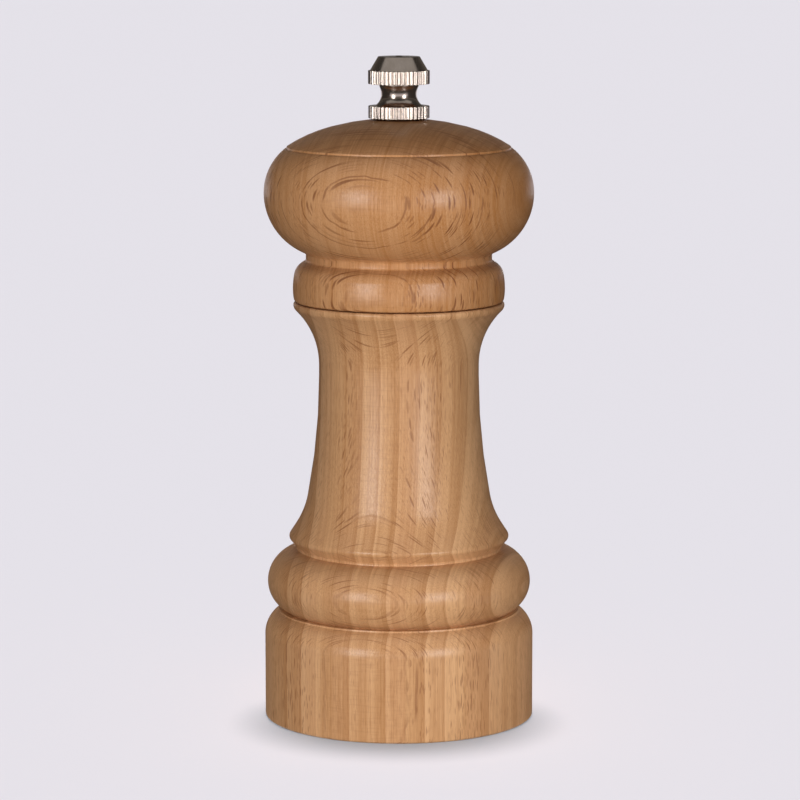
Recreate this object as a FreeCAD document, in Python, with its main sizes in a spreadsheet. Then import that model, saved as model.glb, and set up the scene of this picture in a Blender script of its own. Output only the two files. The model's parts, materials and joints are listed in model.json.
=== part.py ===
import FreeCAD, Part
import math
import os
import types

import Sketcher

# A turned beech pepper mill with a knurled metal knob, in millimetres.
# +Z is up along the shaft, and the origin is the centre of the foot.

FOLDER = "parts"
SHEET = "Sizes"

# Every size of the mill: name, value and what it measures.
SIZE_ROWS = [
    ("body_height", 93.3, "foot to rim; the long hollow takes up what the turnings leave"),
    ("base_radius", 30.0, "foot of the body"),
    ("base_edge", 0.6, "rounding of the foot's lower edge"),
    ("base_wall", 18.6, "height where the foot's straight wall ends"),
    ("shoulder_rise", 5.4, "height of the foot's rounded shoulder"),
    ("shoulder_inset", 3.1, "foot's wall to the end of the shoulder"),
    ("step_rise", 0.35, "small upright step above the shoulder"),
    ("step_ledge", 1.5, "ledge on that step, under the bead"),
    ("bead_swell", 3.95, "bead beyond its own foot"),
    ("bead_lower_rise", 6.25, "step to the widest part of the bead"),
    ("bead_upper_rise", 7.3, "widest part to the top of the bead"),
    ("bead_top_inset", 6.45, "widest part of the bead to its top, sideways"),
    ("quirk_rise", 0.6, "small upright step between bead and lip"),
    ("lip_reach", 1.6, "lip beyond the top of the bead"),
    ("lip_under_rise", 1.66, "height of the lip's sloping underside"),
    ("lip_under_inset", 0.2, "lip's edge to the end of its underside"),
    ("lip_lower_rise", 0.56, "rounded lower half of the lip's edge"),
    ("lip_upper_rise", 0.58, "rounded upper half of the lip's edge"),
    ("lip_upper_inset", 0.17, "lip's edge to the start of the slope above it"),
    ("slope_rise", 2.07, "straight slope above the lip"),
    ("cove_rise", 6.63, "cove between that slope and the long hollow"),
    ("cove_swell", 2.635, "foot of the cove beyond its top"),
    ("waist_swell", 2.59, "foot of the long hollow beyond the waist"),
    ("waist_radius", 17.76, "narrowest part of the body"),
    ("waist_straight", 2.3, "straight stretch at the waist"),
    ("flare_rise", 12.25, "hollow flare under the rim"),
    ("flare_swell", 5.14, "top of the flare beyond the waist"),
    ("rim_swell", 0.5, "edge of the rim beyond the flare"),
    ("rim_lower_rise", 1.15, "rounded lower half of the rim's edge"),
    ("rim_upper_rise", 0.6, "rounded upper half of the rim's edge"),
    ("rim_inset", 0.4, "rim's edge to the flat top"),
    ("bore_radius", 12.75, "hopper bore"),
    ("bore_chamfer", 0.6, "chamfer at the top of the bore"),
    ("grinder_step", 3.25, "counterbore for the grinder beyond the bore"),
    ("recess_step", 5.0, "outlet recess beyond the counterbore"),
    ("recess_depth", 10.0, "depth of the outlet recess"),
    ("seam_gap", 0.25, "gap seen between rim and head"),
    ("seam_depth", 3.4, "depth of that gap"),
    ("ring_proud", 0.1, "widest part of the head's ring beyond the rim"),
    ("ring_chamfer", 0.3, "chamfer at the ring's lower edge"),
    ("ring_foot_inset", 0.23, "ring's widest part to the top of that chamfer"),
    ("ring_lower_rise", 2.35, "chamfer to the ring's widest part"),
    ("ring_upper_rise", 3.3, "widest part to the ring's upper rounding"),
    ("ring_upper_inset", 0.3, "widest part to that rounding, sideways"),
    ("ring_round_rise", 2.3, "upper rounding of the ring"),
    ("ring_round_inset", 1.5, "width of that rounding"),
    ("neck_slope_rise", 0.55, "slope between the rounding and the neck"),
    ("neck_slope_inset", 0.8, "width of that slope"),
    ("neck_fillet_rise", 0.55, "fillet at the foot of the neck"),
    ("neck_fillet_inset", 0.3, "width of that fillet"),
    ("neck_wall", 1.05, "straight wall of the neck"),
    ("bulge_chamfer", 0.45, "chamfer between the neck and the bulge"),
    ("bulge_lower_rise", 13.1, "start of the bulge to its widest part"),
    ("bulge_inset", 0.15, "widest part of the head inside the foot, both turned from one blank"),
    ("bulge_upper_rise", 9.7, "widest part to the crease"),
    ("bulge_upper_inset", 4.7, "widest part to the crease, sideways"),
    ("crease_ledge", 0.4, "ledge of the crease"),
    ("crease_rise", 0.5, "upright edge of the dome above the crease"),
    ("dome_outer_rise", 4.1, "dome from its edge to where it flattens"),
    ("dome_outer_width", 9.15, "width of that part of the dome"),
    ("dome_outer_radius", 33.2, "radius that part of the dome is turned to"),
    ("dome_inner_rise", 1.75, "flatter part of the dome up to the knob's seat"),
    ("seat_margin", 0.5, "flat seat beyond the knob's foot"),
    ("tenon_length", 9.0, "tenon of the head inside the body"),
    ("tenon_gap", 0.2, "tenon to bore, all round"),
    ("tenon_chamfer", 0.8, "chamfer at the tenon's end"),
    ("plate_inset", 1.2, "tenon's edge to the drive plate's edge"),
    ("plate_thickness", 1.5, "drive plate"),
    ("plate_screw_count", 2, "drive plate screws"),
    ("plate_screw_length", 6.5, "drive plate screw under its head"),
    ("retainer_screw_count", 3, "retaining ring screws"),
    ("retainer_screw_length", 10.0, "retaining ring screw under its head"),
    ("screw_head_radius", 2.1, "head of every wood screw"),
    ("screw_head_height", 1.5, "height of that head"),
    ("screw_crown", 0.6, "rise of that head's rounded crown"),
    ("screw_shank_radius", 1.2, "shank of every wood screw"),
    ("screw_point", 2.0, "length of the screw's point"),
    ("screw_slot_width", 0.7, "slot in the screw head"),
    ("screw_slot_depth", 0.7, "depth of that slot"),
    ("screw_hole_gap", 0.15, "screw shank to its hole in a plate"),
    ("pilot_gap", 0.03, "screw shank to its hole in the wood"),
    ("pilot_margin", 0.5, "hole in the wood beyond the screw's point"),
    ("stator_height", 12.0, "grinder ring, bottom to top"),
    ("stator_gap", 0.1, "grinder ring to its counterbore, all round"),
    ("stator_wall", 3.5, "grinder ring's wall at the bottom"),
    ("stator_rim", 3.3, "grinder ring's wall at the top"),
    ("fine_height", 2.5, "height of the fine teeth"),
    ("fine_taper", 1.2, "fine teeth's lean inwards over that height"),
    ("throat_rise", 4.5, "fine teeth to the narrowest part of the ring"),
    ("throat_taper", 0.8, "lean inwards over that height"),
    ("stator_tooth_count", 36, "fine teeth of the grinder ring"),
    ("stator_tooth_depth", 0.6, "depth of those teeth"),
    ("stator_tooth_half", 0.4, "half the width of a groove between them"),
    ("cracker_count", 8, "coarse grooves in the throat"),
    ("cracker_depth", 1.1, "depth of those grooves"),
    ("cracker_half", 1.3, "half the width of such a groove"),
    ("key_count", 2, "keys that stop the grinder ring turning"),
    ("key_width", 4.0, "width of a key"),
    ("key_reach", 1.6, "key beyond the grinder ring"),
    ("key_height", 3.0, "height of a key"),
    ("key_gap", 0.1, "key to its notch"),
    ("retainer_gap", 0.4, "retaining ring to the recess wall"),
    ("retainer_thickness", 1.2, "retaining ring"),
    ("retainer_clear", 0.8, "retaining ring's opening beyond the teeth"),
    ("bridge_thickness", 1.2, "strap across the bore"),
    ("bridge_width", 8.0, "width of the strap's arms"),
    ("bridge_boss_wall", 1.85, "round middle of the strap beyond its hole"),
    ("bush_wall", 1.0, "bush beyond the shaft's corners"),
    ("bush_gap", 0.05, "bush to strap, all round"),
    ("bush_flange_width", 1.3, "flange of the bush beyond its sleeve"),
    ("bush_flange", 1.3, "thickness of that flange"),
    ("bush_proud", 0.4, "bush above the strap"),
    ("shaft_side", 6.0, "side of the square shaft"),
    ("shaft_gap", 0.05, "square shaft to each square hole, per side"),
    ("shaft_hole_gap", 0.35, "shaft's corners to the hole through the head"),
    ("thread_step", 0.5, "threaded ends below the shaft's flats"),
    ("thread_gap", 0.05, "thread to knob, nut and washer, all round"),
    ("thread_chamfer", 0.4, "chamfer at each end of the shaft"),
    ("thread_run", 6.0, "threaded length below the knob's seat"),
    ("thread_grip", 9.3, "threaded length inside the knob"),
    ("thread_tip", 0.6, "shaft below the rotor's nut"),
    ("clip_wall", 1.9, "push-on washer beyond the shaft's corners"),
    ("clip_thickness", 0.7, "thickness of that washer"),
    ("clip_slot_width", 0.8, "slots at the corners of its hole"),
    ("clip_slot_reach", 0.9, "length of those slots"),
    ("clip_slot_count", 4, "number of those slots"),
    ("adjust_travel", 1.6, "fall of the rotor from fine to coarse"),
    ("clip_margin", 0.4, "room under that washer at the coarse end"),
    ("grind_gap", 0.25, "rotor to grinder ring at the fine end"),
    ("rotor_height", 7.5, "rotor, bottom to top"),
    ("rotor_rim", 1.4, "top of the rotor beyond the spring's pocket"),
    ("rotor_tooth_count", 32, "fine teeth of the rotor"),
    ("rotor_tooth_depth", 0.6, "depth of those teeth"),
    ("rotor_tooth_half", 0.42, "half the width of a groove between them"),
    ("feed_count", 6, "coarse feed grooves of the rotor"),
    ("feed_depth", 0.9, "depth of those grooves"),
    ("feed_half", 1.5, "half the width of such a groove"),
    ("tooth_lean", 0.35, "sideways lean of the teeth for each mm of height"),
    ("spring_pocket", 2.7, "depth of the spring's pocket in the rotor"),
    ("spring_wire", 0.8, "diameter of the spring wire"),
    ("spring_shaft_gap", 0.45, "spring to the shaft's corners"),
    ("spring_gap", 0.4, "spring to the wall of its pocket"),
    ("spring_pitch", 1.5, "rise of the spring in one turn"),
    ("spring_seat_gap", 0.05, "spring to its seat at each end"),
    ("washer_lap", 1.0, "washer beyond the corners of the rotor's hole"),
    ("washer_thickness", 0.9, "thickness of that washer"),
    ("nut_flats", 8.0, "rotor nut across its flats"),
    ("nut_height", 4.0, "height of that nut"),
    ("nut_bevel", 0.35, "height lost at the nut's corners"),
    ("nut_face_inset", 0.15, "nut's flats to its round face"),
    ("nut_sides", 6, "sides of that nut"),
    ("knob_foot_inset", 0.85, "lower knurled ring to the knob's foot"),
    ("knob_foot", 0.4, "height of the knob's foot"),
    ("knurl_edge", 0.28, "chamfer of the knurled rings"),
    ("lower_ring_radius", 6.75, "lower knurled ring"),
    ("lower_ring_height", 2.7, "height of the lower ring"),
    ("knob_neck_swell", 1.36, "foot of the knob's neck beyond its waist"),
    ("knob_neck_lower", 2.4, "lower half of the neck's hollow"),
    ("knob_neck_radius", 3.94, "narrowest part of the neck"),
    ("knob_neck_upper", 2.1, "upper half of the neck's hollow"),
    ("knob_collar_swell", 0.5, "collar at the top of the neck beyond its waist"),
    ("knob_collar", 0.3, "height of that collar"),
    ("upper_ring_radius", 6.8, "upper knurled ring"),
    ("upper_ring_height", 2.95, "height of the upper ring"),
    ("cone_rise", 3.05, "cone on top of the knob"),
    ("cone_inset", 1.92, "lean of that cone"),
    ("knob_crown", 0.18, "slight crown on the knob's top"),
    ("knob_bore_spare", 1.0, "knob's bore above the shaft's end"),
    ("knurl_count", 40, "grooves round each knurled ring"),
    ("knurl_depth", 0.32, "depth of those grooves"),
    ("knurl_half", 0.3, "half the width of such a groove"),
]

HALF_DIAGONAL = math.sqrt(0.5)


class Size:
    """A length with its value now and the sheet formula that gives it."""

    def __init__(self, value, formula):
        self.value = value
        self.formula = formula

    def __add__(self, other):
        return self.joined("+", other, self.value + as_size(other).value)

    def __sub__(self, other):
        return self.joined("-", other, self.value - as_size(other).value)

    def __mul__(self, other):
        return self.joined("*", other, self.value * as_size(other).value)

    def __truediv__(self, other):
        return self.joined("/", other, self.value / as_size(other).value)

    def joined(self, sign, other, value):
        return Size(value, f"({self.formula} {sign} {as_size(other).formula})")


def as_size(value):
    if isinstance(value, Size):
        return value
    return Size(float(value), repr(float(value)))


ZERO = as_size(0)


def write_sheet(doc):
    """Puts every size in the sheet and gives them back by name."""
    sheet = doc.addObject("Spreadsheet::Sheet", SHEET)
    found = {}
    for row, (name, value, meaning) in enumerate(SIZE_ROWS, start=1):
        sheet.set(f"A{row}", meaning)
        sheet.set(f"B{row}", repr(value))
        sheet.setAlias(f"B{row}", name)
        found[name] = Size(float(value), f"{SHEET}.{name}")
    doc.recompute()
    return types.SimpleNamespace(**found)


def shared_places(s):
    """Heights and radii that more than one piece uses."""
    at = types.SimpleNamespace()
    at.step = s.base_wall + s.shoulder_rise + s.step_rise
    at.bead = at.step + s.bead_lower_rise
    at.bead_top = at.bead + s.bead_upper_rise
    at.lip_under = at.bead_top + s.quirk_rise + s.lip_under_rise
    at.lip = at.lip_under + s.lip_lower_rise
    at.lip_upper = at.lip + s.lip_upper_rise
    at.slope_top = at.lip_upper + s.slope_rise
    at.cove_top = at.slope_top + s.cove_rise
    at.seam = s.body_height
    at.rim = at.seam - s.rim_upper_rise
    at.flare_top = at.rim - s.rim_lower_rise
    at.waist_top = at.flare_top - s.flare_rise
    at.waist = at.waist_top - s.waist_straight
    at.rim_radius = s.waist_radius + s.flare_swell + s.rim_swell
    at.grinder_radius = s.bore_radius + s.grinder_step
    at.recess_radius = at.grinder_radius + s.recess_step
    at.stator_radius = at.grinder_radius - s.stator_gap
    at.fine_radius = at.stator_radius - s.stator_wall
    at.fine_top_radius = at.fine_radius - s.fine_taper
    at.stator_top = s.recess_depth + s.stator_height
    at.bridge_top = at.stator_top + s.bridge_thickness
    at.retainer_screw_circle = at.grinder_radius + s.recess_step / 2
    at.retainer_foot = s.recess_depth - s.retainer_thickness
    at.shaft_corner = s.shaft_side * HALF_DIAGONAL
    at.square_hole = s.shaft_side + s.shaft_gap * 2
    at.thread_radius = s.shaft_side / 2 - s.thread_step
    at.thread_hole = at.thread_radius + s.thread_gap
    at.bush_radius = at.shaft_corner + s.bush_wall
    at.bush_foot = at.stator_top - s.bush_flange
    at.bush_top = at.bridge_top + s.bush_proud
    at.spring_radius = at.shaft_corner + s.spring_shaft_gap + s.spring_wire / 2
    at.spring_floor = s.recess_depth + s.rotor_height - s.spring_pocket
    at.washer_foot = s.recess_depth - s.washer_thickness
    at.nut_foot = at.washer_foot - s.nut_height
    at.shaft_foot = at.nut_foot - s.thread_tip
    at.tenon_radius = s.bore_radius - s.tenon_gap
    at.tenon_foot = at.seam - s.tenon_length
    at.plate_foot = at.tenon_foot - s.plate_thickness
    at.plate_radius = at.tenon_radius - s.plate_inset
    at.shaft_hole = at.shaft_corner + s.shaft_hole_gap
    at.plate_screw_circle = (at.shaft_hole + at.plate_radius) / 2
    at.bulge_radius = s.base_radius - s.bulge_inset
    at.head_ring = s.seam_gap + s.ring_chamfer + s.ring_lower_rise
    at.head_neck = at.head_ring + s.ring_upper_rise + s.ring_round_rise + s.neck_slope_rise
    at.head_bulge = at.head_neck + s.neck_fillet_rise + s.neck_wall + s.bulge_chamfer + s.bulge_lower_rise
    at.head_dome = at.head_bulge + s.bulge_upper_rise + s.crease_rise
    at.head_top = at.head_dome + s.dome_outer_rise + s.dome_inner_rise
    at.knob_seat = at.seam + at.head_top
    at.knob_foot_radius = s.lower_ring_radius - s.knob_foot_inset
    return at


def origin_part(body, role):
    return next(item for item in body.Origin.OriginFeatures if item.Role == role)


def new_body(doc, name, lift=None):
    """A new piece, raised by lift from the middle of the mill's foot."""
    body = doc.addObject("PartDesign::Body", name)
    body.Label = name
    if lift is not None:
        body.setExpression("Placement.Base.z", lift.formula)
    return body


def new_sketch(body, name, plane, lift=None, aside=None, swing=0):
    """A sketch on one of the body's own planes, lifted, set aside and swung about it."""
    sketch = body.newObject("Sketcher::SketchObject", name)
    sketch.AttachmentSupport = [(origin_part(body, plane), "")]
    sketch.MapMode = "FlatFace"
    sketch.AttachmentOffset = FreeCAD.Placement(FreeCAD.Vector(), FreeCAD.Rotation(swing, 0, 0))
    if lift is not None:
        sketch.setExpression("AttachmentOffset.Base.z", lift.formula)
    if aside is not None:
        sketch.setExpression("AttachmentOffset.Base.x", aside.formula)
    return sketch


def hold(sketch, kind, *where):
    sketch.addConstraint(Sketcher.Constraint(kind, *where))


def bind(sketch, kind, *where, size):
    """Adds a constraint whose value follows a size."""
    index = sketch.addConstraint(Sketcher.Constraint(kind, *where, size.value))
    sketch.setExpression(f"Constraints[{index}]", size.formula)


def place_point(sketch, edge, end, across, up):
    """Holds one end of an edge at a place measured from the sketch's origin."""
    if across is ZERO and up is ZERO:
        hold(sketch, "Coincident", edge, end, -1, 1)
        return
    if across is ZERO:
        hold(sketch, "PointOnObject", edge, end, -2)
    else:
        bind(sketch, "DistanceX", -1, 1, edge, end, size=across)
    if up is ZERO:
        hold(sketch, "PointOnObject", edge, end, -1)
    else:
        bind(sketch, "DistanceY", -1, 1, edge, end, size=up)


def arc_centre(kind, start, stop, heading):
    """Centre of the arc of that kind between two points of an outline."""
    run = stop - start
    if isinstance(kind, Size):
        left = FreeCAD.Vector(-run.y, run.x, 0).normalize()
        return start + run * 0.5 + left * math.sqrt(kind.value ** 2 - run.dot(run) / 4)
    if kind == "level_start":
        return start + FreeCAD.Vector(run.dot(run) / (2 * run.x), 0, 0)
    if kind == "level_end":
        return stop - FreeCAD.Vector(run.dot(run) / (2 * run.x), 0, 0)
    if kind == "crown":
        height = (stop.dot(stop) - start.dot(start)) / (2 * run.y)
        return FreeCAD.Vector(0, height, 0)
    side = FreeCAD.Vector(-heading.y, heading.x, 0)
    return start + side * (run.dot(run) / (2 * run.dot(side)))


def draw_arc(sketch, centre, start, stop):
    """Draws an arc of under half a turn, and gives its edge, its ends and its last heading."""
    spoke_in = start - centre
    spoke_out = stop - centre
    heading = FreeCAD.Vector(-spoke_out.y, spoke_out.x, 0).normalize()
    circle = Part.Circle(centre, FreeCAD.Vector(0, 0, 1), spoke_in.Length)
    angle_in = math.atan2(spoke_in.y, spoke_in.x)
    angle_out = math.atan2(spoke_out.y, spoke_out.x)
    if spoke_in.cross(spoke_out).z > 0:
        edge = sketch.addGeometry(Part.ArcOfCircle(circle, angle_in, angle_out), False)
        return edge, 1, 2, heading
    edge = sketch.addGeometry(Part.ArcOfCircle(circle, angle_out, angle_in), False)
    return edge, 2, 1, heading * -1


def draw_outline(sketch, points):
    """Draws a closed outline through points of (across, up, kind of edge to the next point).

    The kinds are line, level_start and level_end (an arc whose centre is level with that
    end), crown (an arc centred on the axis), flow (an arc that carries on smoothly from
    the edge before it) and a size (an arc of that radius).
    """
    spots = [FreeCAD.Vector(across.value, up.value, 0) for across, up, _ in points]
    edges = []
    heading = None
    for index, (_, _, kind) in enumerate(points):
        start = spots[index]
        stop = spots[(index + 1) % len(spots)]
        if kind == "line":
            edge = sketch.addGeometry(Part.LineSegment(start, stop), False)
            edges.append((edge, 1, 2))
            heading = (stop - start).normalize()
        else:
            centre = arc_centre(kind, start, stop, heading)
            edge, start_end, stop_end, heading = draw_arc(sketch, centre, start, stop)
            edges.append((edge, start_end, stop_end))
    for index, (across, up, kind) in enumerate(points):
        edge, start_end, stop_end = edges[index]
        before, _, before_end = edges[index - 1]
        joint = "Tangent" if kind == "flow" else "Coincident"
        hold(sketch, joint, before, before_end, edge, start_end)
        place_point(sketch, edge, start_end, across, up)
        if kind == "level_start":
            hold(sketch, "Horizontal", edge, 3, edge, start_end)
        if kind == "level_end":
            hold(sketch, "Horizontal", edge, 3, edge, stop_end)
        if kind == "crown":
            hold(sketch, "PointOnObject", edge, 3, -2)
        if isinstance(kind, Size):
            bind(sketch, "Radius", edge, size=kind)


def draw_circle(sketch, radius):
    circle = Part.Circle(FreeCAD.Vector(), FreeCAD.Vector(0, 0, 1), radius.value)
    edge = sketch.addGeometry(circle, False)
    hold(sketch, "Coincident", edge, 3, -1, 1)
    bind(sketch, "Radius", edge, size=radius)


def draw_loop(sketch, corners):
    """Straight edges round the corners given, in order."""
    spots = [FreeCAD.Vector(across, up, 0) for across, up in corners]
    edges = []
    for index, spot in enumerate(spots):
        line = Part.LineSegment(spot, spots[(index + 1) % len(spots)])
        edges.append(sketch.addGeometry(line, False))
    for index, edge in enumerate(edges):
        hold(sketch, "Coincident", edges[index - 1], 2, edge, 1)
    return edges


def draw_rectangle(sketch, across, along, near=None):
    """A rectangle about the sketch's origin, or one that starts at a distance from it."""
    left = near.value if near else -across.value / 2
    right = left + across.value
    half = along.value / 2
    low, far, high, close = draw_loop(sketch, [(left, -half), (right, -half), (right, half), (left, half)])
    hold(sketch, "Horizontal", low)
    hold(sketch, "Horizontal", high)
    hold(sketch, "Vertical", close)
    bind(sketch, "DistanceX", low, 1, low, 2, size=across)
    bind(sketch, "DistanceY", far, 1, far, 2, size=along)
    if near:
        hold(sketch, "Symmetric", far, 1, far, 2, -1)
        bind(sketch, "DistanceX", -1, 1, low, 1, size=near)
    else:
        hold(sketch, "Vertical", far)
        hold(sketch, "Symmetric", low, 1, far, 2, -1, 1)


def draw_notch(sketch, tip, mouth, half):
    """A V along the sketch's X axis, from its tip to a mouth of that half width."""
    corners = [(tip.value, 0), (mouth.value, -half.value), (mouth.value, half.value)]
    first, opening, _ = draw_loop(sketch, corners)
    hold(sketch, "PointOnObject", first, 1, -1)
    hold(sketch, "Symmetric", opening, 1, opening, 2, -1)
    bind(sketch, "DistanceX", -1, 1, first, 1, size=tip)
    bind(sketch, "DistanceX", -1, 1, opening, 1, size=mouth)
    bind(sketch, "DistanceY", opening, 1, opening, 2, size=half * 2)


def turn(body, name, points, aside=None):
    """Turns an outline of (radius, height, edge) about an upright axis."""
    sketch = new_sketch(body, f"{name}_outline", "XZ_Plane", aside=aside)
    draw_outline(sketch, points)
    feature = body.newObject("PartDesign::Revolution", name)
    feature.Profile = sketch
    feature.ReferenceAxis = (sketch, ["V_Axis"])
    feature.Angle = 360
    return feature


def raise_pad(body, sketch, name, height):
    pad = body.newObject("PartDesign::Pad", name)
    pad.Profile = sketch
    pad.setExpression("Length", height.formula)
    return pad


def cut_up(body, sketch, name, depth, lean=None):
    """Cuts the sketch upwards, leaning by (across, along) for each mm of height if asked."""
    body.Document.recompute()
    whole = body.Shape.Volume
    pocket = body.newObject("PartDesign::Pocket", name)
    pocket.Profile = sketch
    pocket.setExpression("Length", depth.formula)
    pocket.Reversed = True
    if lean is not None:
        pocket.AlongSketchNormal = True
        pocket.UseCustomVector = True
        pocket.Direction = FreeCAD.Vector(-lean[0].value, -lean[1].value, -1)
        pocket.setExpression("Direction.x", (ZERO - lean[0]).formula)
        pocket.setExpression("Direction.y", (ZERO - lean[1]).formula)
    body.Document.recompute()
    if not pocket.Shape.Volume < whole:
        raise ValueError(f"{name} removes nothing")
    return pocket


def repeat_around(body, features, name, count):
    ring = body.newObject("PartDesign::PolarPattern", name)
    ring.Originals = features
    ring.Axis = (origin_part(body, "Z_Axis"), [""])
    ring.Angle = 360
    ring.setExpression("Occurrences", count.formula)
    body.Tip = ring
    return ring


def cut_holes(body, name, radius, circle, count, depth, lift=ZERO):
    """Round holes upwards from a height, spaced evenly on a circle."""
    sketch = new_sketch(body, f"{name}_outline", "XY_Plane", lift=lift, aside=circle)
    draw_circle(sketch, radius)
    hole = cut_up(body, sketch, name, depth)
    repeat_around(body, [hole], f"{name}_ring", count)


def cut_square(body, name, side, depth):
    sketch = new_sketch(body, f"{name}_outline", "XY_Plane")
    draw_rectangle(sketch, side, side)
    cut_up(body, sketch, name, depth)


def make_mill_body(doc, s, at):
    """Beech body: foot, bead, lip, long waist and flared rim, bored for peppercorns and grinder."""
    body = new_body(doc, "mill_body")
    shoulder = s.base_radius - s.shoulder_inset
    bead_foot = shoulder - s.step_ledge
    bead = bead_foot + s.bead_swell
    bead_top = bead - s.bead_top_inset
    lip = bead_top + s.lip_reach
    cove = s.waist_radius + s.waist_swell
    turn(body, "body_turning", [
        (s.base_radius - s.base_edge, ZERO, "level_end"),
        (s.base_radius, s.base_edge, "line"),
        (s.base_radius, s.base_wall, "level_start"),
        (shoulder, s.base_wall + s.shoulder_rise, "line"),
        (shoulder, at.step, "line"),
        (bead_foot, at.step, "level_end"),
        (bead, at.bead, "level_start"),
        (bead_top, at.bead_top, "line"),
        (bead_top, at.bead_top + s.quirk_rise, "line"),
        (lip - s.lip_under_inset, at.lip_under, "level_end"),
        (lip, at.lip, "level_start"),
        (lip - s.lip_upper_inset, at.lip_upper, "line"),
        (cove + s.cove_swell, at.slope_top, "flow"),
        (cove, at.cove_top, "level_end"),
        (s.waist_radius, at.waist, "line"),
        (s.waist_radius, at.waist_top, "level_start"),
        (s.waist_radius + s.flare_swell, at.flare_top, "level_end"),
        (at.rim_radius, at.rim, "level_start"),
        (at.rim_radius - s.rim_inset, at.seam, "line"),
        (s.bore_radius + s.bore_chamfer, at.seam, "line"),
        (s.bore_radius, at.seam - s.bore_chamfer, "line"),
        (s.bore_radius, at.bridge_top, "line"),
        (at.grinder_radius, at.bridge_top, "line"),
        (at.grinder_radius, s.recess_depth, "line"),
        (at.recess_radius, s.recess_depth, "line"),
        (at.recess_radius, ZERO, "line"),
    ])
    slot = new_sketch(body, "key_slot_outline", "XY_Plane", lift=s.recess_depth, swing=90)
    slot_reach = at.stator_radius - s.key_reach
    draw_rectangle(slot, s.key_reach * 2 + s.key_gap, s.key_width + s.key_gap * 2, near=slot_reach)
    key_slot = cut_up(body, slot, "key_slot", s.key_height + s.key_gap)
    repeat_around(body, [key_slot], "key_slots", s.key_count)
    pilot_depth = s.retainer_screw_length - s.retainer_thickness + s.pilot_margin
    pilot_radius = s.screw_shank_radius + s.pilot_gap
    cut_holes(body, "retainer_pilot", pilot_radius, at.retainer_screw_circle,
              s.retainer_screw_count, pilot_depth, s.recess_depth)
    return body


def make_head(doc, s, at):
    """Beech head: tenon, ring, neck, bulge and creased dome, bored for the shaft."""
    body = new_body(doc, "head", at.tenon_foot)
    foot = s.tenon_length + s.seam_gap
    ring_foot = foot + s.ring_chamfer
    ring = s.tenon_length + at.head_ring
    ring_top = ring + s.ring_upper_rise
    neck_slope = ring_top + s.ring_round_rise
    neck = s.tenon_length + at.head_neck
    neck_wall = neck + s.neck_fillet_rise
    bulge_foot = neck_wall + s.neck_wall + s.bulge_chamfer
    bulge = s.tenon_length + at.head_bulge
    crease = bulge + s.bulge_upper_rise
    dome = s.tenon_length + at.head_dome
    ring_radius = at.rim_radius + s.ring_proud
    ring_foot_radius = ring_radius - s.ring_foot_inset
    round_radius = ring_radius - s.ring_upper_inset - s.ring_round_inset
    slope_radius = round_radius - s.neck_slope_inset
    neck_radius = slope_radius - s.neck_fillet_inset
    crease_radius = at.bulge_radius - s.bulge_upper_inset
    dome_radius = crease_radius - s.crease_ledge
    relief_radius = at.rim_radius - s.seam_depth
    turn(body, "head_turning", [
        (at.shaft_hole, ZERO, "line"),
        (at.tenon_radius - s.tenon_chamfer, ZERO, "line"),
        (at.tenon_radius, s.tenon_chamfer, "line"),
        (at.tenon_radius, s.tenon_length, "line"),
        (relief_radius, s.tenon_length, "line"),
        (relief_radius, foot, "line"),
        (ring_foot_radius - s.ring_chamfer, foot, "line"),
        (ring_foot_radius, ring_foot, "level_end"),
        (ring_radius, ring, "level_start"),
        (ring_radius - s.ring_upper_inset, ring_top, "flow"),
        (round_radius, neck_slope, "line"),
        (slope_radius, neck, "level_end"),
        (neck_radius, neck_wall, "line"),
        (neck_radius, neck_wall + s.neck_wall, "line"),
        (neck_radius + s.bulge_chamfer, bulge_foot, "level_end"),
        (at.bulge_radius, bulge, "level_start"),
        (crease_radius, crease, "line"),
        (dome_radius, crease, "line"),
        (dome_radius, dome, s.dome_outer_radius),
        (dome_radius - s.dome_outer_width, dome + s.dome_outer_rise, "crown"),
        (at.knob_foot_radius + s.seat_margin, s.tenon_length + at.head_top, "line"),
        (at.shaft_hole, s.tenon_length + at.head_top, "line"),
    ])
    pilot_depth = s.plate_screw_length - s.plate_thickness + s.pilot_margin
    pilot_radius = s.screw_shank_radius + s.pilot_gap
    cut_holes(body, "plate_pilot", pilot_radius, at.plate_screw_circle, s.plate_screw_count, pilot_depth)
    return body


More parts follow.
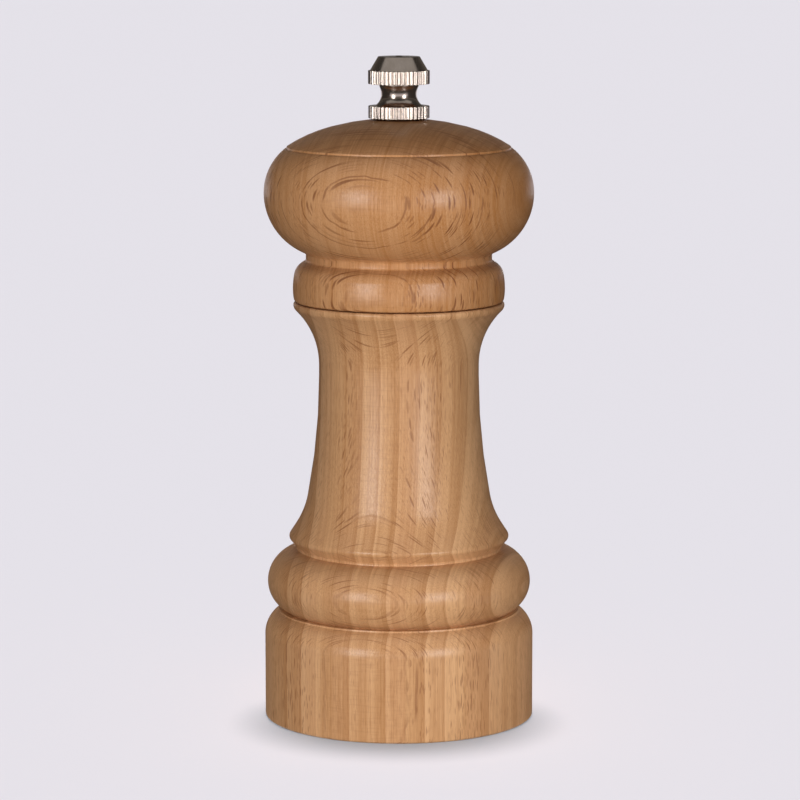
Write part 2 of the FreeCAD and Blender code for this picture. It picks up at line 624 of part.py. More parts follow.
def make_knob(doc, s, at):
    """Turned metal knob: foot, two knurled rings with a waisted neck between, and a cone."""
    body = new_body(doc, "knob", at.knob_seat)
    lower_top = s.knob_foot + s.lower_ring_height
    waist = lower_top + s.knob_neck_lower
    collar = waist + s.knob_neck_upper
    upper = collar + s.knob_collar
    upper_top = upper + s.upper_ring_height
    top = upper_top + s.cone_rise
    bore_top = s.thread_grip + s.knob_bore_spare
    lower_edge = s.lower_ring_radius - s.knurl_edge
    upper_edge = s.upper_ring_radius - s.knurl_edge
    collar_radius = s.knob_neck_radius + s.knob_collar_swell
    turn(body, "knob_turning", [
        (at.thread_hole, ZERO, "line"),
        (at.knob_foot_radius, ZERO, "line"),
        (at.knob_foot_radius, s.knob_foot, "line"),
        (lower_edge, s.knob_foot, "line"),
        (s.lower_ring_radius, s.knob_foot + s.knurl_edge, "line"),
        (s.lower_ring_radius, lower_top - s.knurl_edge, "line"),
        (lower_edge, lower_top, "line"),
        (s.knob_neck_radius + s.knob_neck_swell, lower_top, "level_end"),
        (s.knob_neck_radius, waist, "level_start"),
        (collar_radius, collar, "line"),
        (collar_radius, upper, "line"),
        (upper_edge, upper, "line"),
        (s.upper_ring_radius, upper + s.knurl_edge, "line"),
        (s.upper_ring_radius, upper_top - s.knurl_edge, "line"),
        (upper_edge, upper_top, "line"),
        (upper_edge - s.cone_inset, top, "crown"),
        (ZERO, top + s.knob_crown, "line"),
        (ZERO, bore_top, "line"),
        (at.thread_hole, bore_top, "line"),
    ])
    groove = new_sketch(body, "knurl_outline", "XY_Plane")
    mouth_depth = s.upper_ring_radius - s.lower_ring_radius + s.knurl_depth * 2
    mouth_half = s.knurl_half * (mouth_depth / s.knurl_depth)
    tip = s.lower_ring_radius - s.knurl_depth
    draw_notch(groove, tip, tip + mouth_depth, mouth_half)
    knurl = cut_up(body, groove, "knurl", top)
    repeat_around(body, [knurl], "knurl_ring", s.knurl_count)
    return body


def make_shaft(doc, s, at):
    """Square rod with a round threaded length at each end."""
    body = new_body(doc, "shaft", at.shaft_foot)
    top = at.knob_seat + s.thread_grip - at.shaft_foot
    tip_radius = at.thread_radius - s.thread_chamfer
    turn(body, "shaft_core", [
        (ZERO, ZERO, "line"),
        (tip_radius, ZERO, "line"),
        (at.thread_radius, s.thread_chamfer, "line"),
        (at.thread_radius, top - s.thread_chamfer, "line"),
        (tip_radius, top, "line"),
        (ZERO, top, "line"),
    ])
    square_foot = s.recess_depth - at.shaft_foot
    square = new_sketch(body, "shaft_square_outline", "XY_Plane", lift=square_foot)
    draw_rectangle(square, s.shaft_side, s.shaft_side)
    raise_pad(body, square, "shaft_square", at.knob_seat - s.thread_run - s.recess_depth)
    return body


def make_shaft_clip(doc, s, at):
    """Push-on washer that keeps the shaft from dropping through the bush."""
    body = new_body(doc, "shaft_clip", at.bush_top + s.adjust_travel + s.clip_margin)
    disc = new_sketch(body, "clip_outline", "XY_Plane")
    draw_circle(disc, at.shaft_corner + s.clip_wall)
    raise_pad(body, disc, "clip_disc", s.clip_thickness)
    cut_square(body, "clip_hole", at.square_hole, s.clip_thickness)
    slot = new_sketch(body, "clip_slot_outline", "XY_Plane", swing=45)
    draw_rectangle(slot, s.clip_slot_reach * 2, s.clip_slot_width, near=at.shaft_corner - s.clip_slot_reach)
    clip_slot = cut_up(body, slot, "clip_slot", s.clip_thickness)
    repeat_around(body, [clip_slot], "clip_slots", s.clip_slot_count)
    return body


def make_shaft_bush(doc, s, at):
    """Flanged bush with a square hole, which turns in the strap."""
    body = new_body(doc, "shaft_bush", at.bush_foot)
    height = at.bush_top - at.bush_foot
    flange_radius = at.bush_radius + s.bush_flange_width
    turn(body, "bush_turning", [
        (ZERO, ZERO, "line"),
        (flange_radius, ZERO, "line"),
        (flange_radius, s.bush_flange, "line"),
        (at.bush_radius, s.bush_flange, "line"),
        (at.bush_radius, height, "line"),
        (ZERO, height, "line"),
    ])
    cut_square(body, "bush_hole", at.square_hole, height)
    return body


def make_bridge(doc, s, at):
    """Strap across the bore with a round middle, clamped above the grinder ring."""
    def cylinder(name, radius):
        solid = doc.addObject("Part::Cylinder", name)
        solid.setExpression("Radius", radius.formula)
        solid.setExpression("Height", s.bridge_thickness.formula)
        return solid

    arms = doc.addObject("Part::Box", "bridge_arms")
    arms.setExpression("Length", (at.stator_radius * 2).formula)
    arms.setExpression("Width", s.bridge_width.formula)
    arms.setExpression("Height", s.bridge_thickness.formula)
    arms.setExpression("Placement.Base.x", (ZERO - at.stator_radius).formula)
    arms.setExpression("Placement.Base.y", (ZERO - s.bridge_width / 2).formula)
    strap = doc.addObject("Part::Common", "bridge_strap")
    strap.Base = cylinder("bridge_disc", at.stator_radius)
    strap.Tool = arms
    hole_radius = at.bush_radius + s.bush_gap
    blank = doc.addObject("Part::Fuse", "bridge_blank")
    blank.Base = strap
    blank.Tool = cylinder("bridge_boss", hole_radius + s.bridge_boss_wall)
    bridge = doc.addObject("Part::Cut", "bridge")
    bridge.Label = "bridge"
    bridge.Base = blank
    bridge.Tool = cylinder("bridge_hole", hole_radius)
    bridge.setExpression("Placement.Base.z", at.stator_top.formula)
    return bridge


def cut_teeth(body, name, count, surface, depth, half, lean, lift, height, outwards):
    """Leaning V grooves all round, cut into a cone whose radius at that height is surface."""
    sketch = new_sketch(body, f"{name}_outline", "XY_Plane", lift=lift)
    tip = surface + depth if outwards else surface - depth
    mouth = surface - depth if outwards else surface + depth
    draw_notch(sketch, tip, mouth, half * 2)
    groove = cut_up(body, sketch, name, height, lean)
    repeat_around(body, [groove], f"{name}_ring", count)


def make_stator(doc, s, at):
    """Female grinder ring: toothed cone, throat, funnel mouth and two keys."""
    body = new_body(doc, "stator", s.recess_depth)
    throat = s.fine_height + s.throat_rise
    turn(body, "stator_turning", [
        (at.fine_radius, ZERO, "line"),
        (at.stator_radius, ZERO, "line"),
        (at.stator_radius, s.stator_height, "line"),
        (at.stator_radius - s.stator_rim, s.stator_height, "line"),
        (at.fine_top_radius - s.throat_taper, throat, "line"),
        (at.fine_top_radius, s.fine_height, "line"),
    ])
    key = new_sketch(body, "key_outline", "XY_Plane", swing=90)
    draw_rectangle(key, s.key_reach * 2, s.key_width, near=at.stator_radius - s.key_reach)
    key_pad = raise_pad(body, key, "key", s.key_height)
    repeat_around(body, [key_pad], "keys", s.key_count)
    fine_lean = (ZERO - s.fine_taper / s.fine_height, s.tooth_lean)
    cut_teeth(body, "stator_teeth", s.stator_tooth_count, at.fine_radius, s.stator_tooth_depth,
              s.stator_tooth_half, fine_lean, ZERO, s.stator_height, True)
    coarse_lean = (ZERO - s.throat_taper / s.throat_rise, s.tooth_lean)
    cut_teeth(body, "crackers", s.cracker_count, at.fine_top_radius, s.cracker_depth,
              s.cracker_half, coarse_lean, s.fine_height, s.stator_height, True)
    return body


def make_rotor(doc, s, at):
    """Male grinder cone with fine teeth below, feed grooves above and a pocket for the spring."""
    body = new_body(doc, "rotor", s.recess_depth)
    foot_radius = at.fine_radius - s.grind_gap
    fine_top = at.fine_top_radius - s.grind_gap
    pocket = at.spring_radius + s.spring_wire / 2 + s.spring_gap
    top = pocket + s.rotor_rim
    turn(body, "rotor_turning", [
        (ZERO, ZERO, "line"),
        (foot_radius, ZERO, "line"),
        (fine_top, s.fine_height, "line"),
        (top, s.rotor_height, "line"),
        (pocket, s.rotor_height, "line"),
        (pocket, s.rotor_height - s.spring_pocket, "line"),
        (ZERO, s.rotor_height - s.spring_pocket, "line"),
    ])
    cut_square(body, "rotor_hole", at.square_hole, s.rotor_height)
    fine_lean = (ZERO - s.fine_taper / s.fine_height, ZERO - s.tooth_lean)
    cut_teeth(body, "rotor_teeth", s.rotor_tooth_count, foot_radius, s.rotor_tooth_depth,
              s.rotor_tooth_half, fine_lean, ZERO, s.rotor_height, False)
    feed_lean = (ZERO - (fine_top - top) / (s.rotor_height - s.fine_height), ZERO - s.tooth_lean)
    cut_teeth(body, "feed_grooves", s.feed_count, fine_top, s.feed_depth,
              s.feed_half, feed_lean, s.fine_height, s.rotor_height, False)
    return body


def make_rotor_washer(doc, s, at):
    body = new_body(doc, "rotor_washer", at.washer_foot)
    outer = at.square_hole * HALF_DIAGONAL + s.washer_lap
    turn(body, "washer_turning", [
        (at.thread_hole, ZERO, "line"),
        (outer, ZERO, "line"),
        (outer, s.washer_thickness, "line"),
        (at.thread_hole, s.washer_thickness, "line"),
    ])
    return body


def make_rotor_nut(doc, s, at):
    """Hexagon nut: a turned blank with bevelled corners, then its flats."""
    body = new_body(doc, "rotor_nut", at.nut_foot)
    flat = s.nut_flats / 2
    face = flat - s.nut_face_inset
    corner = flat / math.cos(math.pi / s.nut_sides.value)
    turn(body, "nut_turning", [
        (at.thread_hole, ZERO, "line"),
        (face, ZERO, "line"),
        (corner, s.nut_bevel, "line"),
        (corner, s.nut_height - s.nut_bevel, "line"),
        (face, s.nut_height, "line"),
        (at.thread_hole, s.nut_height, "line"),
    ])
    side = new_sketch(body, "nut_flat_outline", "XY_Plane")
    draw_rectangle(side, corner, corner * 2, near=flat)
    nut_flat = cut_up(body, side, "nut_flat", s.nut_height)
    repeat_around(body, [nut_flat], "nut_flats", s.nut_sides)
    return body


def make_retaining_ring(doc, s, at):
    body = new_body(doc, "retaining_ring", at.retainer_foot)
    outer = at.recess_radius - s.retainer_gap
    inner = at.fine_radius + s.retainer_clear
    turn(body, "retainer_turning", [
        (inner, ZERO, "line"),
        (outer, ZERO, "line"),
        (outer, s.retainer_thickness, "line"),
        (inner, s.retainer_thickness, "line"),
    ])
    cut_holes(body, "retainer_hole", s.screw_shank_radius + s.screw_hole_gap,
              at.retainer_screw_circle, s.retainer_screw_count, s.retainer_thickness)
    return body


def make_drive_plate(doc, s, at):
    body = new_body(doc, "drive_plate", at.plate_foot)
    disc = new_sketch(body, "plate_outline", "XY_Plane")
    draw_circle(disc, at.plate_radius)
    raise_pad(body, disc, "plate_disc", s.plate_thickness)
    cut_square(body, "plate_square", at.square_hole, s.plate_thickness)
    cut_holes(body, "plate_hole", s.screw_shank_radius + s.screw_hole_gap,
              at.plate_screw_circle, s.plate_screw_count, s.plate_thickness)
    return body


def make_screws(doc, s, name, head_seat, circle, count, length):
    """A ring of slotted wood screws that point upwards, with their heads under head_seat."""
    body = new_body(doc, name, head_seat - s.screw_head_height)
    body.AllowCompound = True
    tip = s.screw_head_height + length
    shape = turn(body, f"{name}_turning", [
        (ZERO, ZERO, "crown"),
        (s.screw_head_radius, s.screw_crown, "line"),
        (s.screw_head_radius, s.screw_head_height, "line"),
        (s.screw_shank_radius, s.screw_head_height, "line"),
        (s.screw_shank_radius, tip - s.screw_point, "line"),
        (ZERO, tip, "line"),
    ], aside=circle)
    slot = new_sketch(body, f"{name}_slot_outline", "XY_Plane", aside=circle)
    draw_rectangle(slot, s.screw_head_radius * 3, s.screw_slot_width)
    screw_slot = cut_up(body, slot, f"{name}_slot", s.screw_slot_depth)
    repeat_around(body, [shape, screw_slot], f"{name}_ring", count)
    return body


def arc_from(start, heading, stop):
    """The arc that leaves start along heading and ends at stop."""
    chord = stop - start
    along = FreeCAD.Vector(chord).normalize()
    bulge = heading - along * heading.dot(along)
    angle = heading.getAngle(chord)
    middle = (start + stop) * 0.5 + bulge.normalize() * (chord.Length / 2 * math.tan(angle / 2))
    return Part.Arc(start, middle, stop).toShape()


def biarc(start, start_heading, stop, stop_heading):
    """Two arcs that join smoothly between two points with given headings."""
    chord = stop - start
    both = start_heading + stop_heading
    spread = 2 * (1 - start_heading.dot(stop_heading))
    reach = (math.sqrt(chord.dot(both) ** 2 + spread * chord.dot(chord)) - chord.dot(both)) / spread
    middle = (start + stop) * 0.5 + (start_heading - stop_heading) * (reach / 2)
    back = arc_from(stop, stop_heading * -1, middle)
    forward = arc_from(start, start_heading, middle)
    back.reverse()
    return [forward, back]


def make_spring(doc, s, at):
    """Open coil spring between the bush's flange and the rotor's pocket."""
    radius = at.spring_radius.value
    wire = s.spring_wire.value
    foot = at.spring_floor.value + s.spring_seat_gap.value + wire / 2
    rise = at.bush_foot.value - s.spring_seat_gap.value - wire / 2 - foot
    quarters = round(4 * rise / s.spring_pitch.value)
    climb = rise / (quarters * math.pi / 2)

    def spot(angle):
        return FreeCAD.Vector(radius * math.cos(angle), radius * math.sin(angle), climb * angle)

    def heading(angle):
        return FreeCAD.Vector(-radius * math.sin(angle), radius * math.cos(angle), climb).normalize()

    edges = []
    for quarter in range(quarters):
        first = quarter * math.pi / 2
        last = first + math.pi / 2
        edges += biarc(spot(first), heading(first), spot(last), heading(last))
    section = Part.Wire([Part.Circle(spot(0), heading(0), wire / 2).toShape()])
    coil = Part.Wire(edges).makePipeShell([section], True, False)
    steps = 48
    samples = [spot(index * 2 * math.pi / steps) for index in range(quarters * steps // 4 + 1)]
    gaps = [
        first.distanceToPoint(other) - wire
        for index, first in enumerate(samples)
        for other in samples[index + steps // 2:]
    ]
    print(f"spring: {quarters / 4} turns, least gap to itself {min(gaps):.2f} mm")
    spring = doc.addObject("Part::Feature", "spring")
    spring.Label = "spring"
    spring.Shape = coil
    spring.Placement = FreeCAD.Placement(FreeCAD.Vector(0, 0, foot), FreeCAD.Rotation())
    return spring


def make_pieces(doc):
    s = write_sheet(doc)
    at = shared_places(s)
    return [
        make_mill_body(doc, s, at),
        make_head(doc, s, at),
        make_knob(doc, s, at),
        make_shaft(doc, s, at),
        make_shaft_clip(doc, s, at),
        make_shaft_bush(doc, s, at),
        make_spring(doc, s, at),
        make_bridge(doc, s, at),
        make_stator(doc, s, at),
        make_rotor(doc, s, at),
        make_rotor_washer(doc, s, at),
        make_rotor_nut(doc, s, at),
        make_retaining_ring(doc, s, at),
        make_screws(doc, s, "retaining_screws", at.retainer_foot, at.retainer_screw_circle,
                    s.retainer_screw_count, s.retainer_screw_length),
        make_drive_plate(doc, s, at),
        make_screws(doc, s, "drive_plate_screws", at.plate_foot, at.plate_screw_circle,
                    s.plate_screw_count, s.plate_screw_length),
    ]


def check(doc, pieces):
    """Stops the build if anything in the model failed."""
    for item in doc.Objects:
        if "Invalid" in item.State or "Error" in item.State:
            raise ValueError(f"{item.Label} failed: {item.State}")
    for piece in pieces:
        if piece.Shape.isNull() or not piece.Shape.isValid():
            raise ValueError(f"{piece.Label} has no valid shape")
        print(f"{piece.Label}: {len(piece.Shape.Solids)} solid, {piece.Shape.Volume:.1f} mm3")


def main():
    doc = FreeCAD.newDocument("pepper_mill")
    pieces = make_pieces(doc)
    doc.recompute()
    check(doc, pieces)
    os.makedirs(FOLDER, exist_ok=True)
    for piece in pieces:
        piece.Shape.exportStep(f"{FOLDER}/{piece.Label}.step")


main()
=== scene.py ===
# %% [markdown]
# A turned beech pepper mill
#
# This lesson dresses the CAD model of a small pepper mill: a beech body and head turned on a lathe, a
# nickel plated knob, and a steel grinder that shows only from below or with the head lifted off. The
# CAD model is loaded as a fixed frame. It already holds every piece at its real size, so this script
# never moves a CAD piece. It gives each one a finish, and models again the pieces that need finer edges
# and curves.

# %% Load the frame
import bmesh
import bpy
import json
import math
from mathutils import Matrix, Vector


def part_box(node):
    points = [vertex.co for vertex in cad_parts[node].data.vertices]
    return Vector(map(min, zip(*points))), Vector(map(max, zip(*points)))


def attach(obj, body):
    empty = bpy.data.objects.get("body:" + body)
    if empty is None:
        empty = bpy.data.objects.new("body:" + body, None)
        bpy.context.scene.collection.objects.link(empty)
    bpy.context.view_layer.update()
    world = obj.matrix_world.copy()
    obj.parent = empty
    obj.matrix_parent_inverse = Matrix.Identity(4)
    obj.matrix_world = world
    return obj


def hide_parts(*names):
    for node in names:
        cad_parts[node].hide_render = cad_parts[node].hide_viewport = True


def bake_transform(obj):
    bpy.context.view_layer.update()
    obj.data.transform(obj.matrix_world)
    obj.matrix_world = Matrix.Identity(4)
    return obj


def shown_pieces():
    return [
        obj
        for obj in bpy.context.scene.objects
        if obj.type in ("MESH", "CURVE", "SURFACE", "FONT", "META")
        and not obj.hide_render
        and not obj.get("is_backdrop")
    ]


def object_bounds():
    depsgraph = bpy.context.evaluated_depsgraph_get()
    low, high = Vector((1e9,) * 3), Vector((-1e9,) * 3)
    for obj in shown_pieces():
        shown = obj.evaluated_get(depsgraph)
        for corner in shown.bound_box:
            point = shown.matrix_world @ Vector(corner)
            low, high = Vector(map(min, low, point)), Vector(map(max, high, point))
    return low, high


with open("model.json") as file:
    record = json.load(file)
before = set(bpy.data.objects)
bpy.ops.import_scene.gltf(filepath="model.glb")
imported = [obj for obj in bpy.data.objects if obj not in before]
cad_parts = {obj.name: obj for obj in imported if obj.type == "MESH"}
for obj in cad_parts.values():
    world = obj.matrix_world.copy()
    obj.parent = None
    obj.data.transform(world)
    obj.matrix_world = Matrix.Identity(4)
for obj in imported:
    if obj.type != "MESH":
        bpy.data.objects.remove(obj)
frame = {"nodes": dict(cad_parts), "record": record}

MM = 0.001
cad_low, cad_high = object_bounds()
print("loaded", len(frame["nodes"]), "nodes, in metres:", tuple(cad_low), tuple(cad_high))

# %% [markdown]
# Outlines for the lathe
#
# A turner works to an outline: half of the section, from the axis outwards. Long hollows and beads are
# arcs of a circle, so an outline here is a short list of corners, and each corner says how the edge to
# the next one runs. An arc can start or end level with its centre, have its centre on the axis like a
# crown, flow on from the edge before it, or have a radius of its own. A spline through many points
# could do the same, but arcs are what the solid has, and they stay easy to change.

# %% Trace an outline
ARC_STEP = math.radians(4)
FEWEST_STEPS = 2


def arc_centre(kind, start, stop, heading):
    """Centre of the arc between two corners. A kind that is a number is the arc's radius."""
    run = stop - start
    if kind == "level_start":
        return start + Vector((run.dot(run) / (2 * run.x), 0))
    if kind == "level_end":
        return stop - Vector((run.dot(run) / (2 * run.x), 0))
    if kind == "crown":
        return Vector((0, (stop.dot(stop) - start.dot(start)) / (2 * run.y)))
    if kind == "flow":
        side = Vector((-heading.y, heading.x))
        return start + side * (run.dot(run) / (2 * run.dot(side)))
    left = Vector((-run.y, run.x)).normalized()
    return start + run / 2 + left * math.sqrt(kind**2 - run.dot(run) / 4)


def trace(outline):
    """Points in millimetres along an outline of (radius, height, kind of edge to the next corner)."""
    corners = [Vector((radius, height)) for radius, height, _ in outline]
    points = []
    heading = Vector((1, 0))
    for index, (_, _, kind) in enumerate(outline):
        start = corners[index]
        stop = corners[(index + 1) % len(corners)]
        points.append(start)
        if kind == "line":
            heading = (stop - start).normalized()
            continue
        centre = arc_centre(kind, start, stop, heading)
        first = math.atan2(start.y - centre.y, start.x - centre.x)
        last = math.atan2(stop.y - centre.y, stop.x - centre.x)
        turn = (last - first + math.pi) % (2 * math.pi) - math.pi
        steps = max(FEWEST_STEPS, round(abs(turn) / ARC_STEP))
        radius = (start - centre).length
        for step in range(1, steps):
            angle = first + turn * step / steps
            points.append(centre + radius * Vector((math.cos(angle), math.sin(angle))))
        heading = math.copysign(1, turn) * Vector((-math.sin(last), math.cos(last)))
    return points


# %% [markdown]
# A lathe
#
# The outline becomes a ring of vertices, and `bmesh.ops.spin` turns it once round the axis. Doubles are
# merged where the outline meets itself, then the normals are recalculated, because a spin can leave
# them inside out. Real turned edges are broken with sandpaper, so every edge that is still sharp gets a
# small bevel: it is what catches the light as a thin bright line. Edges that stay sharp are marked, and
# all faces are shaded smooth.

# %% Spin an outline
SAME_PLACE = 1e-7


def merge_and_face_out(bm):
    """Merges vertices that lie in one place, and turns every face outwards."""
    bmesh.ops.remove_doubles(bm, verts=bm.verts[:], dist=SAME_PLACE)
    bmesh.ops.recalc_face_normals(bm, faces=bm.faces[:])


def spin_outline(outline, lift, steps):
    """A bmesh turned from a closed outline in millimetres, raised by lift in metres."""
    bm = bmesh.new()
    ring = [bm.verts.new((point.x * MM, 0, point.y * MM + lift)) for point in trace(outline)]
    for index, corner in enumerate(ring):
        bm.edges.new((ring[index - 1], corner))
    bmesh.ops.spin(
        bm, geom=bm.verts[:] + bm.edges[:], cent=(0, 0, 0), axis=(0, 0, 1), angle=2 * math.pi,
        steps=steps, use_merge=True,
    )
    merge_and_face_out(bm)
    return bm


# %% Break edges and finish
SHARP = math.radians(35)
EDGE_TO_BREAK = math.radians(14)


def break_edges(bm, width, segments=2):
    """Bevels every edge where two faces meet at a clear angle."""
    edges = [edge for edge in bm.edges if edge.calc_face_angle(0) > EDGE_TO_BREAK]
    bmesh.ops.bevel(
        bm, geom=edges, offset=width, segments=segments, profile=0.5, affect="EDGES",
        material=-1, clamp_overlap=True,
    )


def shade(bm, sharp):
    """Shades every face smooth, and marks the edges that are still sharp."""
    for face in bm.faces:
        face.smooth = True
    for edge in bm.edges:
        edge.smooth = edge.calc_face_angle(0) < sharp


def finished(bm, name, sharp=SHARP):
    """Turns a bmesh into an object of the scene, at the origin."""
    shade(bm, sharp)
    mesh = bpy.data.meshes.new(name)
    bm.to_mesh(mesh)
    bm.free()
    piece = bpy.data.objects.new(name, mesh)
    bpy.context.scene.collection.objects.link(piece)
    print(name, "has", len(mesh.polygons), "faces")
    return piece


# %% [markdown]
# The beech body
#
# The body is one piece of beech: foot, bead, a thin lip, a long waist and a flared rim, bored through
# for the peppercorns and stepped from below for the grinder. Its outline runs up the outside and down
# the bore.

# %% Turn the body
LATHE_STEPS = 256
BROKEN_EDGE = 0.12 * MM
RIM = 93.3
BORE = 12.75
BORE_CHAMFER = 0.6

BODY_OUTLINE = [
    (29.4, 0.0, "level_end"),  # small round at the foot
    (30.0, 0.6, "line"),  # side of the base
    (30.0, 18.6, "level_start"),  # shoulder of the base
    (26.9, 24.0, "line"),  # step below the bead
    (26.9, 24.35, "line"),
    (25.4, 24.35, "level_end"),  # lower half of the bead
    (29.35, 30.6, "level_start"),  # upper half of the bead
    (22.9, 37.9, "line"),  # groove above the bead
    (22.9, 38.5, "line"),  # underside of the lip
    (24.3, 40.16, "level_end"),  # round edge of the lip
    (24.5, 40.72, "level_start"),
    (24.33, 41.3, "line"),  # slope above the lip
    (22.985, 43.37, "flow"),  # curve into the waist
    (20.35, 50.0, "level_end"),  # long hollow of the waist
    (17.76, 77.0, "line"),  # narrowest part
    (17.76, 79.3, "level_start"),  # flare
    (22.9, 91.55, "level_end"),  # round edge of the rim
    (23.4, 92.7, "level_start"),
    (23.0, RIM, "line"),  # flat top
    (BORE + BORE_CHAMFER, RIM, "line"),
    (BORE, RIM - BORE_CHAMFER, "line"),  # bore for the peppercorns
    (BORE, 23.2, "line"),
    (16.0, 23.2, "line"),  # wider bore for the grinder
    (16.0, 10.0, "line"),
    (21.0, 10.0, "line"),  # widest recess, open at the foot
    (21.0, 0.0, "line"),  # underside
]

body_bm = spin_outline(BODY_OUTLINE, 0, LATHE_STEPS)
break_edges(body_bm, BROKEN_EDGE)
beech_body = finished(body_bm, "beech_body")
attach(beech_body, "root")
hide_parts("mill_body")

# %% [markdown]
# The beech head
#
# The head has a tenon that drops into the body, a ring that meets the rim at a thin dark seam, a neck,
# a round bulge and a dome set off by a turned crease. It is a second piece of wood, so its grain won't
# line up with the body's. The same lathe makes it.

# %% Turn the head
SHAFT_HOLE = 4.593
TENON_FOOT = 84.3
TENON_GAP = 0.2
TENON_CHAMFER = 0.8
TENON = BORE - TENON_GAP
SEAM = 0.25
DOME_TOP = 133.55
DOME_SIDE_RADIUS = 33.2

HEAD_OUTLINE = [
    (SHAFT_HOLE, TENON_FOOT, "line"),  # foot of the tenon
    (TENON - TENON_CHAMFER, TENON_FOOT, "line"),
    (TENON, TENON_FOOT + TENON_CHAMFER, "line"),  # side of the tenon
    (TENON, RIM, "line"),  # face that rests on the rim
    (20.0, RIM, "line"),
    (20.0, RIM + SEAM, "line"),  # roof of the seam
    (22.97, RIM + SEAM, "line"),
    (23.27, 93.85, "level_end"),  # ring
    (23.5, 96.2, "level_start"),
    (23.2, 99.5, "flow"),  # shoulder of the ring
    (21.7, 101.8, "line"),  # cove below the bulge
    (20.9, 102.35, "level_end"),
    (20.6, 102.9, "line"),  # neck
    (20.6, 103.95, "line"),
    (21.05, 104.4, "level_end"),  # lower half of the bulge
    (29.85, 117.5, "level_start"),  # upper half of the bulge
    (25.15, 127.2, "line"),  # crease
    (24.75, 127.2, "line"),
    (24.75, 127.7, DOME_SIDE_RADIUS),  # side of the dome
    (15.6, 131.8, "crown"),  # crown of the dome
    (6.4, DOME_TOP, "line"),  # flat below the knob
    (SHAFT_HOLE, DOME_TOP, "line"),  # hole for the shaft
]

head_bm = spin_outline(HEAD_OUTLINE, 0, LATHE_STEPS)
break_edges(head_bm, BROKEN_EDGE)
beech_head = finished(head_bm, "beech_head")
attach(beech_head, "head")
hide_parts("head")

# %% [markdown]
# The knurled knob
#
# The knob is turned from brass bar and plated. Two knurled rings give grip, with a waisted neck between
# them and a flat cone on top. Knurling presses round ridges into the ring with narrow grooves between.
# After the spin, each vertex is drawn in to the ridge's own section if it stands outside it, just as a
# knurling wheel would do.

# %% Outline of the knob
KNURL_CREST = 6.8
THREAD_HOLE = 2.55
THREAD_HOLE_TOP = 10.3

KNOB_OUTLINE = [
    (THREAD_HOLE, 0.0, "line"),  # seat on the dome
    (5.0, 0.0, "line"),  # slope below the lower ring
    (6.2, 0.4, "line"),
    (6.6, 0.4, "level_end"),
    (6.75, 0.55, "line"),  # lower ring
    (6.75, 2.95, "level_start"),
    (6.6, 3.1, "line"),
    (5.3, 3.1, "level_end"),  # hollow of the neck
    (3.94, 5.5, "level_start"),
    (4.44, 7.6, "line"),
    (4.44, 7.9, "line"),  # underside of the upper ring
    (6.65, 7.9, "level_end"),
    (KNURL_CREST, 8.05, "line"),  # upper ring
    (KNURL_CREST, 10.7, "level_start"),
    (6.65, 10.85, "line"),
    (6.4, 10.85, "line"),  # cone
    (4.6, 13.88, "line"),  # flat top
    (0.8, 13.93, "line"),  # small raised centre
    (0.6, 14.08, "line"),
    (0.0, 14.08, "line"),
    (0.0, THREAD_HOLE_TOP, "line"),  # threaded hole
    (THREAD_HOLE, THREAD_HOLE_TOP, "line"),
]
print("the knob's outline has", len(KNOB_OUTLINE), "corners")

# %% Turn and knurl the knob
RIDGES = 40
RIDGE_STEPS = 10
RIDGE_DEPTH = 0.38
RIDGE_SQUARENESS = 2.0
KNOB_EDGE = 0.05 * MM
KNOB_SHARP = math.radians(24)


def draw_in(vert, limit):
    """Moves a vertex in towards the axis if it stands outside a limit in millimetres."""
    radius = math.hypot(vert.co.x, vert.co.y) / MM
    if radius > limit:
        vert.co.x *= limit / radius
        vert.co.y *= limit / radius


def knurl(bm):
    """Draws vertices in to a ring of ridges with narrow grooves between them."""
    for vert in bm.verts:
        place = math.atan2(vert.co.y, vert.co.x) / (2 * math.pi) * RIDGES
        depth = (2 * abs(place - round(place))) ** RIDGE_SQUARENESS
        draw_in(vert, KNURL_CREST - RIDGE_DEPTH * depth)


knob_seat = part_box("knob")[0].z
knob_bm = spin_outline(KNOB_OUTLINE, knob_seat, RIDGES * RIDGE_STEPS)
break_edges(knob_bm, KNOB_EDGE, segments=1)
knurl(knob_bm)
nickel_knob = finished(knob_bm, "nickel_knob", KNOB_SHARP)
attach(nickel_knob, "knob")
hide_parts("knob")

# %% [markdown]
# The square shaft
#
# The shaft is drawn aluminium bar, 6 mm square, turned down to an M5 thread at both ends. With the head
# lifted off, the bar and the upper thread stand in plain sight, so they get real threads instead of a
# smooth pin. It is spun as a round bar first. Then each vertex is drawn in to the square section, or
# into the thread's groove. The chamfered shoulder of the round bar stays only at the corners, as on a
# turned square bar.

# %% Outline of the shaft
SHAFT_STEPS = 96
HALF_SIDE = 3.0
SHOULDER = 3.8
BAR_RADIUS = HALF_SIDE / math.cos(math.pi / 4 - 2 * math.pi / SHAFT_STEPS)
BAR_CHAMFER = 0.3
THREAD_RADIUS = 2.5
THREAD_TIP = 2.1
THREAD_PITCH = 0.8
THREAD_DEPTH = 0.45
THREAD_RUN = 6.0
RINGS_IN_A_PITCH = 8

shaft_foot, shaft_top = (corner.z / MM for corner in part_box("shaft"))
bar_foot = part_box("rotor")[0].z / MM
bar_top = knob_seat / MM - THREAD_RUN


def thread_rings(low, high):
    """Outline corners close enough together to carry a thread."""
    count = round((high - low) / THREAD_PITCH * RINGS_IN_A_PITCH)
    return [(THREAD_RADIUS, low + (high - low) * ring / count, "line") for ring in range(count + 1)]


